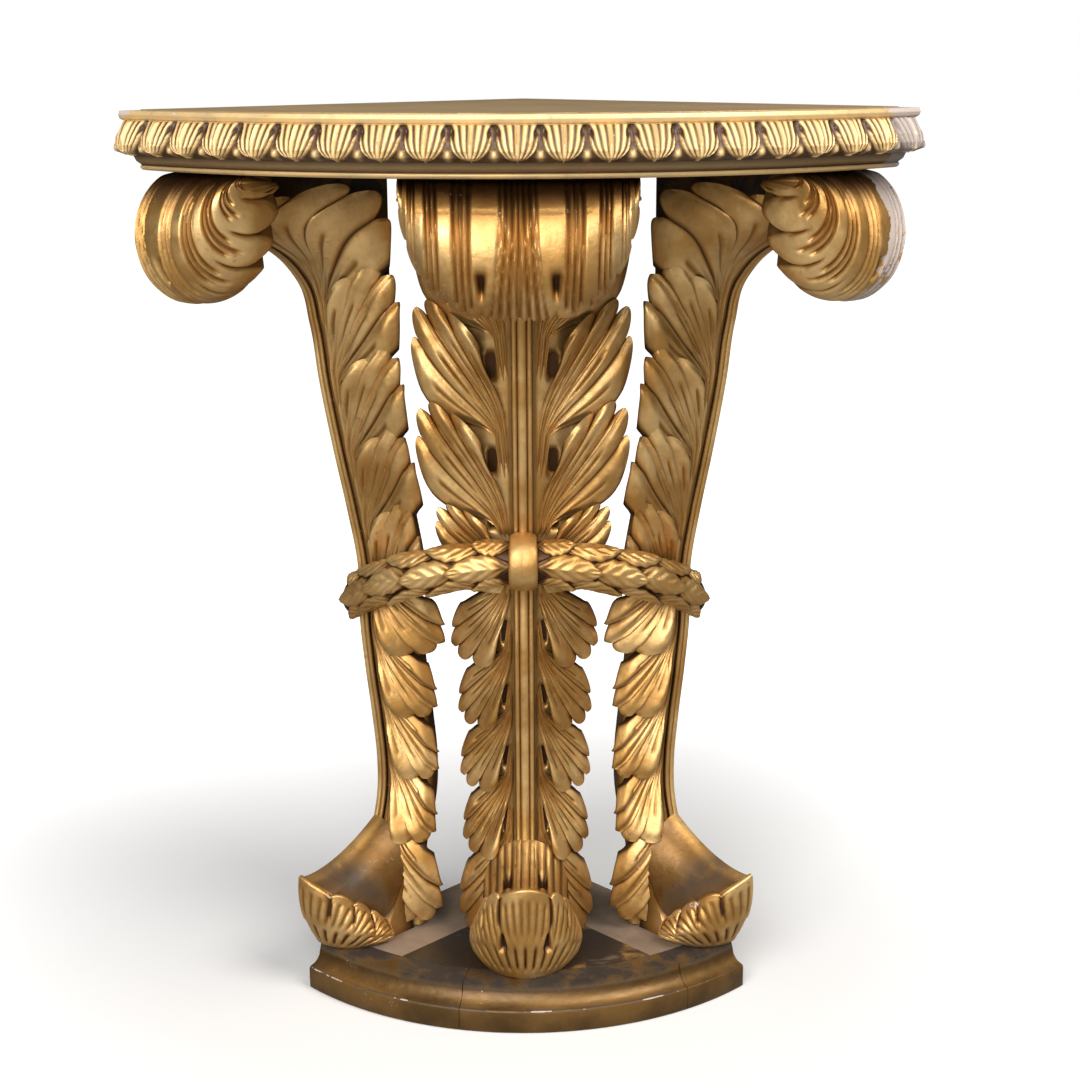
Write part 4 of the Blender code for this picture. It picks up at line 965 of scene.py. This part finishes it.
def marked(tree, name):
    """A mark that the points of a piece carry."""
    return node(tree, "ShaderNodeAttribute", attribute_name=name).outputs["Fac"]


def bumped(tree, height, strength, distance):
    """Normals of a surface with fine bumps."""
    inputs = {"Height": height, "Strength": strength, "Distance": distance}
    return node(tree, "ShaderNodeBump", inputs).outputs["Normal"]


def new_group(name, inputs, outputs):
    """A shader node group with its sockets, its input node and its output node."""
    tree = bpy.data.node_groups.new(name, "ShaderNodeTree")
    for way, sockets in (("INPUT", inputs), ("OUTPUT", outputs)):
        for label, kind in sockets.items():
            tree.interface.new_socket(label, in_out=way, socket_type="NodeSocket" + kind)
    return tree, tree.nodes.new("NodeGroupInput"), tree.nodes.new("NodeGroupOutput")


def use_group(tree, name, inputs):
    """A node that stands for a node group."""
    return node(tree, "ShaderNodeGroup", inputs, node_tree=bpy.data.node_groups[name])


def rgba(colour, factor=1.0):
    """A colour times a factor, with full alpha."""
    return (factor * colour[0], factor * colour[1], factor * colour[2], 1.0)


def gilding_group():
    """Gold leaf with painted light: a painted highlight on high places and painted shade in recesses, both read
    from the high mark, and rubbed to red clay in spots.
    """
    tree, given, out = new_group(
        "Gilding",
        {"Bright": "Color", "Mid": "Color", "Deep": "Color", "Clay": "Color"},
        {"Colour": "Color", "Roughness": "Float", "Height": "Float"},
    )
    where = object_places(tree)
    high = marked(tree, "high")
    broad = noise(tree, where, 14.0, 5.0)
    fine = noise(tree, where, 95.0, 4.0, 0.6)
    grain = noise(tree, where, 420.0, 3.0)
    # Painted highlight: the Bright colour, partly burnished gold, covers high places in broad patches.
    patch = times(tree, span(tree, broad, 0.36, 0.66), span(tree, high, 0.45, 0.95))
    gold = blend(tree, patch, given.outputs["Mid"], given.outputs["Bright"])
    # Painted shade: the Deep colour darkens recesses and shaded faces after the high mark, mottled by fine
    # noise.
    shade = times(tree, span(tree, high, 0.0, 0.62), span(tree, fine, 0.10, 0.42, 0.55, 1.0))
    gold = blend(tree, shade, given.outputs["Deep"], gold)
    rub = times(tree, span(tree, fine, 0.60, 0.70), span(tree, broad, 0.50, 0.62, 0.0, 0.55))
    feed(tree, out, {
        "Colour": blend(tree, rub, gold, given.outputs["Clay"]),
        "Roughness": span(tree, fine, 0.25, 0.75, 0.40, 0.56),
        "Height": times(tree, span(tree, fine, 0.2, 0.8), span(tree, grain, 0.2, 0.8, 0.8, 1.0)),
    })


def chips_group():
    """Where the gold has broken away from its white ground: noise against the chip mark of the surface."""
    tree, given, out = new_group("Chips", {"Limit": "Float"}, {"Mask": "Float"})
    where = object_places(tree)
    coarse = noise(tree, where, 38.0, 6.0, 0.62)
    fine = noise(tree, where, 260.0, 3.0, 0.6)
    ragged = times(tree, coarse, span(tree, fine, 0.2, 0.8, 0.86, 1.08))
    scored = times(tree, ragged, span(tree, marked(tree, "chip"), 0.0, 2.0, 0.58, 1.42))
    over = times(tree, scored, given.outputs["Limit"], "SUBTRACT")
    feed(tree, out, {"Mask": span(tree, over, 0.0, 0.018)})


def specks_group():
    """Fine pale flecks of lost gold, and patches of wear."""
    tree, given, out = new_group("Specks", {"Scale": "Float"}, {"Mask": "Float", "Wear": "Float"})
    where = object_places(tree)
    cells = node(tree, "ShaderNodeTexVoronoi", {"Vector": where, "Scale": given.outputs["Scale"]})
    patch = noise(tree, where, 30.0, 3.0)
    worn = noise(tree, where, 24.0, 6.0, 0.65)
    feed(tree, out, {
        "Mask": times(tree, span(tree, cells.outputs["Distance"], 0.22, 0.12), span(tree, patch, 0.63, 0.72)),
        "Wear": span(tree, worn, 0.36, 0.56, 0.25, 1.0),
    })


def grain_group():
    """Long wood grain: noise stretched along one way."""
    tree, given, out = new_group("Wood grain", {"Stretch": "Vector"}, {"Value": "Float"})
    inputs = {0: object_places(tree), 1: given.outputs["Stretch"]}
    pulled = node(tree, "ShaderNodeVectorMath", inputs, operation="MULTIPLY").outputs[0]
    feed(tree, out, {"Value": noise(tree, pulled, 6.0, 6.0, 0.6)})


def new_material(name):
    """A new material's node tree and its Principled shader."""
    made = bpy.data.materials.new(name)
    made.use_nodes = True
    return made.node_tree, made.node_tree.nodes["Principled BSDF"]


def gilt_material(name, finish, bright, mid, limit, metal, speck):
    """Gilding with chips, flecks and bare places over one Principled shader."""
    tree, shader = new_material(name)
    colours = {"Bright": bright, "Mid": mid, "Deep": rgba(finish.shade_and_speck), "Clay": rgba(finish.clay)}
    gold = use_group(tree, "Gilding", colours)
    lost = use_group(tree, "Chips", {"Limit": limit}).outputs["Mask"]
    specks = use_group(tree, "Specks", {"Scale": speck})
    bare = times(tree, marked(tree, "bare"), specks.outputs["Wear"])
    colour = blend(tree, specks.outputs["Mask"], gold.outputs["Colour"], rgba(finish.gesso))
    colour = blend(tree, bare, colour, rgba(finish.dark))
    # Painted shade: the white ground where the gold is lost darkens in recesses after the high mark.
    ground = blend(tree, marked(tree, "high"), rgba(finish.gesso, 0.4), rgba(finish.gesso))
    dull = times(tree, times(tree, lost, bare, "ADD"), specks.outputs["Mask"], "ADD")
    depth = times(tree, gold.outputs["Height"], span(tree, lost, 0.0, 1.0, 1.0, 0.2))
    feed(tree, shader, {
        "Base Color": blend(tree, lost, colour, ground),
        "Metallic": span(tree, dull, 0.0, 1.0, metal, 0.0),
        "Roughness": times(tree, gold.outputs["Roughness"], span(tree, dull, 0.0, 1.0, 0.0, 0.4), "ADD"),
        "Coat Weight": 0.18,
        "Coat Roughness": 0.28,
        "Normal": bumped(tree, depth, 0.25, 0.0012),
    })


def plain_material(name, colour, other, rough, metal, stretch):
    """Wood or steel: two close colours along the grain."""
    tree, shader = new_material(name)
    grain = use_group(tree, "Wood grain", {"Stretch": stretch}).outputs["Value"]
    feed(tree, shader, {
        "Base Color": blend(tree, span(tree, grain, 0.3, 0.7), colour, other),
        "Roughness": rough,
        "Metallic": metal,
        "Normal": bumped(tree, grain, 0.2, 0.001),
    })


def platform_material(name, finish):
    """Dark ground of the plinth with worn gold, scratches and grain."""
    tree, shader = new_material(name)
    grain = use_group(tree, "Wood grain", {"Stretch": (3.0, 9.0, 1.0)}).outputs["Value"]
    broad = noise(tree, object_places(tree), 16.0, 6.0, 0.6)
    worn = times(tree, span(tree, broad, 0.52, 0.62), span(tree, grain, 0.38, 0.6))
    specks = use_group(tree, "Specks", {"Scale": 260.0})
    flecks = times(tree, specks.outputs["Mask"], span(tree, broad, 0.3, 0.6))
    colour = blend(tree, worn, rgba(finish.dark), rgba(finish.mid, 0.5))
    colour = blend(tree, span(tree, grain, 0.62, 0.74, 0.0, 0.35), colour, rgba(finish.wood))
    feed(tree, shader, {
        "Base Color": blend(tree, flecks, colour, rgba(finish.gesso)),
        "Roughness": span(tree, broad, 0.3, 0.7, 0.35, 0.6),
        "Normal": bumped(tree, grain, 0.25, 0.001),
    })


def top_material(name, finish):
    """Aged paint of the top: tan with broad cloudy wear, fine scratches and specks."""
    tree, shader = new_material(name)
    grain = use_group(tree, "Wood grain", {"Stretch": (2.0, 24.0, 1.0)}).outputs["Value"]
    broad = noise(tree, object_places(tree), 7.0, 5.0)
    specks = use_group(tree, "Specks", {"Scale": 300.0})
    lost = use_group(tree, "Chips", {"Limit": 0.60}).outputs["Mask"]
    colour = blend(tree, span(tree, broad, 0.3, 0.7), rgba(finish.top), rgba(finish.top, 1.25))
    colour = blend(tree, span(tree, grain, 0.55, 0.75, 0.0, 0.35), colour, rgba(finish.mid))
    colour = blend(tree, specks.outputs["Mask"], colour, rgba(finish.shade_and_speck))
    feed(tree, shader, {
        "Base Color": blend(tree, lost, colour, rgba(finish.gesso)),
        "Roughness": span(tree, grain, 0.3, 0.7, 0.32, 0.5),
        "Metallic": 0.25,
        "Normal": bumped(tree, grain, 0.12, 0.001),
    })


class CONSOLE_OT_finishes(bpy.types.Operator):
    """Makes the finishes and gives them to the pieces inside the table"""

    bl_idname = "console.finishes"
    bl_label = "Finishes"

    def execute(self, context):
        finish = context.scene.console_finish
        for make in (gilding_group, chips_group, specks_group, grain_group):
            make()
        bright, mid, wood, steel = finish.bright, finish.mid, finish.wood, finish.steel
        gilt_material("carved gilding", finish, rgba(bright), rgba(mid), 0.52, 0.80, 330.0)
        gilt_material("edge gilding", finish, rgba(finish.pale), rgba(bright), 0.50, 0.32, 240.0)
        gilt_material("worn gilding", finish, rgba(mid, 0.70), rgba(mid, 0.26), 0.53, 0.70, 300.0)
        top_material("aged top", finish)
        platform_material("dark platform", finish)
        plain_material("bare wood", rgba(wood), rgba(wood, 1.35), 0.75, 0.0, (2.0, 2.0, 9.0))
        plain_material("raw strip", rgba(wood, 0.55), rgba(wood, 0.95), 0.7, 0.0, (3.0, 3.0, 1.0))
        plain_material("screw steel", rgba(steel), rgba(steel, 0.7), 0.4, 1.0, (9.0, 9.0, 9.0))
        for name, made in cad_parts.items():
            made.data.materials.clear()
            made.data.materials.append(bpy.data.materials["screw steel" if "screw" in name else "bare wood"])
        return {"FINISHED"}


class CONSOLE_OT_top(bpy.types.Operator):
    """Builds the boards, the carved edge and the frieze of the top"""

    bl_idname = "console.top"
    bl_label = "Top"

    def execute(self, context):
        top = context.scene.console_top
        for name in ("back", "middle", "front"):
            low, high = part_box("top_board_" + name)
            near, far = CORNER_Y - high.y, CORNER_Y - low.y
            made = Piece()
            front, back = board_sheet(near, far, BOARD_LOW, TABLE_TOP, BOARD_RADIUS, top.arris)
            made.sheet(front, back, high=0.7, chip=0.35)
            made.build("board_" + name, "aged top", "gilt_top", "top_board_" + name)
        third = 2 * WALL / 3
        for k, name in enumerate(("left", "centre", "right")):
            first, last = -WALL + k * third, -WALL + (k + 1) * third
            made = palmette_edge(top, first, last, top.leaves // 3 * EDGE_POINTS + 1)
            made.build("carved_edge_" + name, "edge gilding", "gilt_moulding", "leaf_moulding_" + name)
            made = frieze(first, last)
            made.build("frieze_" + name, "edge gilding", "gilt_moulding", "frieze_rail_" + name)
        return {"FINISHED"}


class CONSOLE_OT_legs(bpy.types.Operator):
    """Builds the posts with their spines"""

    bl_idname = "console.legs"
    bl_label = "Posts"

    def execute(self, context):
        for leg in LEGS:
            made = post(context.scene.console_legs, leg)
            made.build("post_" + leg, "carved gilding", "gilt_carving", f"leg_{leg}_post")
        return {"FINISHED"}


class CONSOLE_OT_leaves(bpy.types.Operator):
    """Builds the leaf sprays of the legs"""

    bl_idname = "console.leaves"
    bl_label = "Leaf sprays"

    def execute(self, context):
        for leg, (_, sides) in LEGS.items():
            for side in sides:
                which = "" if leg != "centre" else ("_left" if side < 0 else "_right")
                for kind in ("upper", "lower"):
                    made = spray(context.scene.console_legs, kind, leg, side)
                    name = f"{kind}_leaf{which}"
                    made.build(f"{leg}_{name}_carved", "carved gilding", "gilt_carving", f"leg_{leg}_{name}")
        return {"FINISHED"}


class CONSOLE_OT_curls(bpy.types.Operator):
    """Builds the curled leaf tips under the top and the feet"""

    bl_idname = "console.curls"
    bl_label = "Curls and feet"

    def execute(self, context):
        curls = context.scene.console_curls
        gold = "carved gilding"
        for leg in LEGS:
            curl(curls, leg).build("curl_" + leg, gold, "gilt_carving", f"leg_{leg}_curl")
            foot(curls, leg).build("foot_" + leg, gold, "gilt_carving", f"leg_{leg}_foot")
        return {"FINISHED"}


class CONSOLE_OT_wreath(bpy.types.Operator):
    """Builds the laurel wreath and its clasp"""

    bl_idname = "console.wreath"
    bl_label = "Wreath"

    def execute(self, context):
        wreath = context.scene.console_wreath
        gold = "carved gilding"
        for name, sign in (("left", -1), ("right", 1)):
            laurel(wreath, sign).build("laurel_" + name, gold, "gilt_carving", "wreath_" + name)
        u = np.linspace(-1, 1, 41)
        turn = np.linspace(-math.pi / 2, math.pi / 2, 40)
        swell = 0.98 + 0.16 * np.sqrt(1 - 0.98 * u**2)
        made = Piece()
        angle = u * wreath.clasp / CLASP_RADIUS
        rings = wreath_point(wreath, angle[:, None], turn[None, :], swell[:, None])
        # Painted shade: the clasp darkens towards its ends.
        made.tube(rings, high=(1.0 - 0.6 * u**4)[:, None])
        made.build("clasp", gold, "gilt_carving", "wreath_clasp")
        return {"FINISHED"}


class CONSOLE_OT_plinth(bpy.types.Operator):
    """Builds the boards and the moulded edge of the plinth"""

    bl_idname = "console.plinth"
    bl_label = "Plinth"

    def execute(self, context):
        plinth = context.scene.console_plinth
        for name in ("left", "right", "front"):
            look = "dark platform" if name == "front" else "raw strip"
            plinth_board(plinth, name).build("platform_" + name, look, "dark_bole", "plinth_board_" + name)
        stops = (-WALL, plinth.joint_left, plinth.joint_right, WALL)
        slit = plinth.gap / PLINTH_RADIUS / 2
        for k, name in enumerate(("left", "centre", "right")):
            made = plinth_edge(plinth, stops[k] + (slit if k else 0), stops[k + 1] - (slit if k < 2 else 0))
            made.build("edge_" + name, "worn gilding", "gilt_carving", "plinth_edge_" + name)
        return {"FINISHED"}


def add_light(name, place, aim, size, power, colour):
    """A soft square light at a place, turned to face an aim point."""
    data = bpy.data.lights.new(name, "AREA")
    data.size, data.energy, data.color = size, power, colour
    made = bpy.data.objects.new(name, data)
    bpy.context.scene.collection.objects.link(made)
    way = np.array(aim) - np.array(place)
    made.location = place
    tilt = math.acos(-way[2] / np.linalg.norm(way))
    made.rotation_euler = (tilt, 0.0, math.atan2(way[1], way[0]) - math.pi / 2)


class CONSOLE_OT_stage(bpy.types.Operator):
    """Builds the floor, the lights, the white surround and the camera"""

    bl_idname = "console.stage"
    bl_label = "Stage"

    def execute(self, context):
        stage = context.scene.console_stage
        mesh = bpy.data.meshes.new("floor")
        corners = ((-1, -1), (1, -1), (1, 1), (-1, 1))
        mesh.from_pydata([(FLOOR_HALF * x, FLOOR_HALF * y, FLOOR_Z) for x, y in corners], [], [(0, 1, 2, 3)])
        floor = bpy.data.objects.new("floor", mesh)
        context.scene.collection.objects.link(floor)
        tree, shader = new_material("floor")
        seen = node(tree, "ShaderNodeLightPath").outputs["Is Camera Ray"]
        where = object_places(tree)
        away = node(tree, "ShaderNodeVectorMath", {0: where}, operation="LENGTH").outputs["Value"]
        feed(tree, shader, {
            "Base Color": blend(tree, seen, (0.30, 0.30, 0.30, 1), (0.80, 0.80, 0.80, 1)),
            "Roughness": 0.9,
            "Specular IOR Level": 0.0,
            "Emission Color": (1, 1, 1, 1),
            "Emission Strength": times(tree, seen, span(tree, away, 0.25, 1.30, stage.glow, 1.0)),
        })
        mesh.materials.append(bpy.data.materials["floor"])
        add_light("key", (1.7, -1.35, 2.9), (0, 0, 0.5), 1.6, stage.key, (1.0, 0.97, 0.93))
        add_light("fill", (-0.7, -2.5, 1.8), (0, 0, 0.5), 2.2, stage.fill, (1.0, 0.98, 0.96))
        add_light("overhead", (0.0, -0.3, 2.8), (0, 0, 0.9), 1.6, stage.overhead, (1, 1, 1))
        world = bpy.data.worlds.new("studio")
        context.scene.world = world
        world.use_nodes = True
        tree = world.node_tree
        tree.nodes.clear()
        seen = node(tree, "ShaderNodeLightPath").outputs["Is Camera Ray"]
        levels = {"Value": seen, "To Min": stage.sky, "To Max": 1.0}
        strength = node(tree, "ShaderNodeMapRange", levels).outputs[0]
        surround = node(tree, "ShaderNodeBackground", {"Color": (1, 1, 1, 1), "Strength": strength})
        out = tree.nodes.new("ShaderNodeOutputWorld")
        tree.links.new(surround.outputs[0], out.inputs["Surface"])
        data = bpy.data.cameras.new("camera")
        data.lens, data.sensor_width = stage.lens, 36.0
        data.clip_start = 0.05
        camera = bpy.data.objects.new("camera", data)
        context.scene.collection.objects.link(camera)
        camera.location = stage.place
        camera.rotation_euler = (math.pi / 2 - stage.pitch, stage.roll, 0.0)
        context.scene.camera = camera
        context.scene.view_settings.view_transform = "Standard"
        return {"FINISHED"}


class CONSOLE_PT_panel(bpy.types.Panel):
    """Buttons for the steps and the sizes they use"""

    bl_idname = "CONSOLE_PT_panel"
    bl_label = "Corner console table"
    bl_space_type = "VIEW_3D"
    bl_region_type = "UI"
    bl_category = "Console"

    def draw(self, context):
        """Draws a button for each step and a box for each group of settings."""
        for step_class in STEPS:
            self.layout.operator(step_class.bl_idname)
        for name in GROUPS:
            settings = getattr(context.scene, name)
            box = self.layout.box()
            for key in settings.bl_rna.properties.keys():
                if key not in ("rna_type", "name"):
                    box.prop(settings, key)


GROUPS = {
    "console_top": ConsoleTop,
    "console_legs": ConsoleLegs,
    "console_curls": ConsoleCurls,
    "console_wreath": ConsoleWreath,
    "console_plinth": ConsolePlinth,
    "console_finish": ConsoleFinish,
    "console_stage": ConsoleStage,
}
STEPS = (
    CONSOLE_OT_finishes,
    CONSOLE_OT_top,
    CONSOLE_OT_legs,
    CONSOLE_OT_leaves,
    CONSOLE_OT_curls,
    CONSOLE_OT_wreath,
    CONSOLE_OT_plinth,
    CONSOLE_OT_stage,
)


def register():
    """Adds the classes and the settings of the scene."""
    for made in (*GROUPS.values(), *STEPS, CONSOLE_PT_panel):
        bpy.utils.register_class(made)
    for name, made in GROUPS.items():
        setattr(bpy.types.Scene, name, PointerProperty(type=made))


def unregister():
    """Takes the settings and the classes away again."""
    for name in GROUPS:
        delattr(bpy.types.Scene, name)
    for made in reversed((*GROUPS.values(), *STEPS, CONSOLE_PT_panel)):
        bpy.utils.unregister_class(made)


def main():
    """Builds everything."""
    register()
    bpy.ops.console.finishes()
    bpy.ops.console.top()
    bpy.ops.console.legs()
    bpy.ops.console.leaves()
    bpy.ops.console.curls()
    bpy.ops.console.wreath()
    bpy.ops.console.plinth()
    bpy.ops.console.stage()


if __name__ == "__main__":
    main()
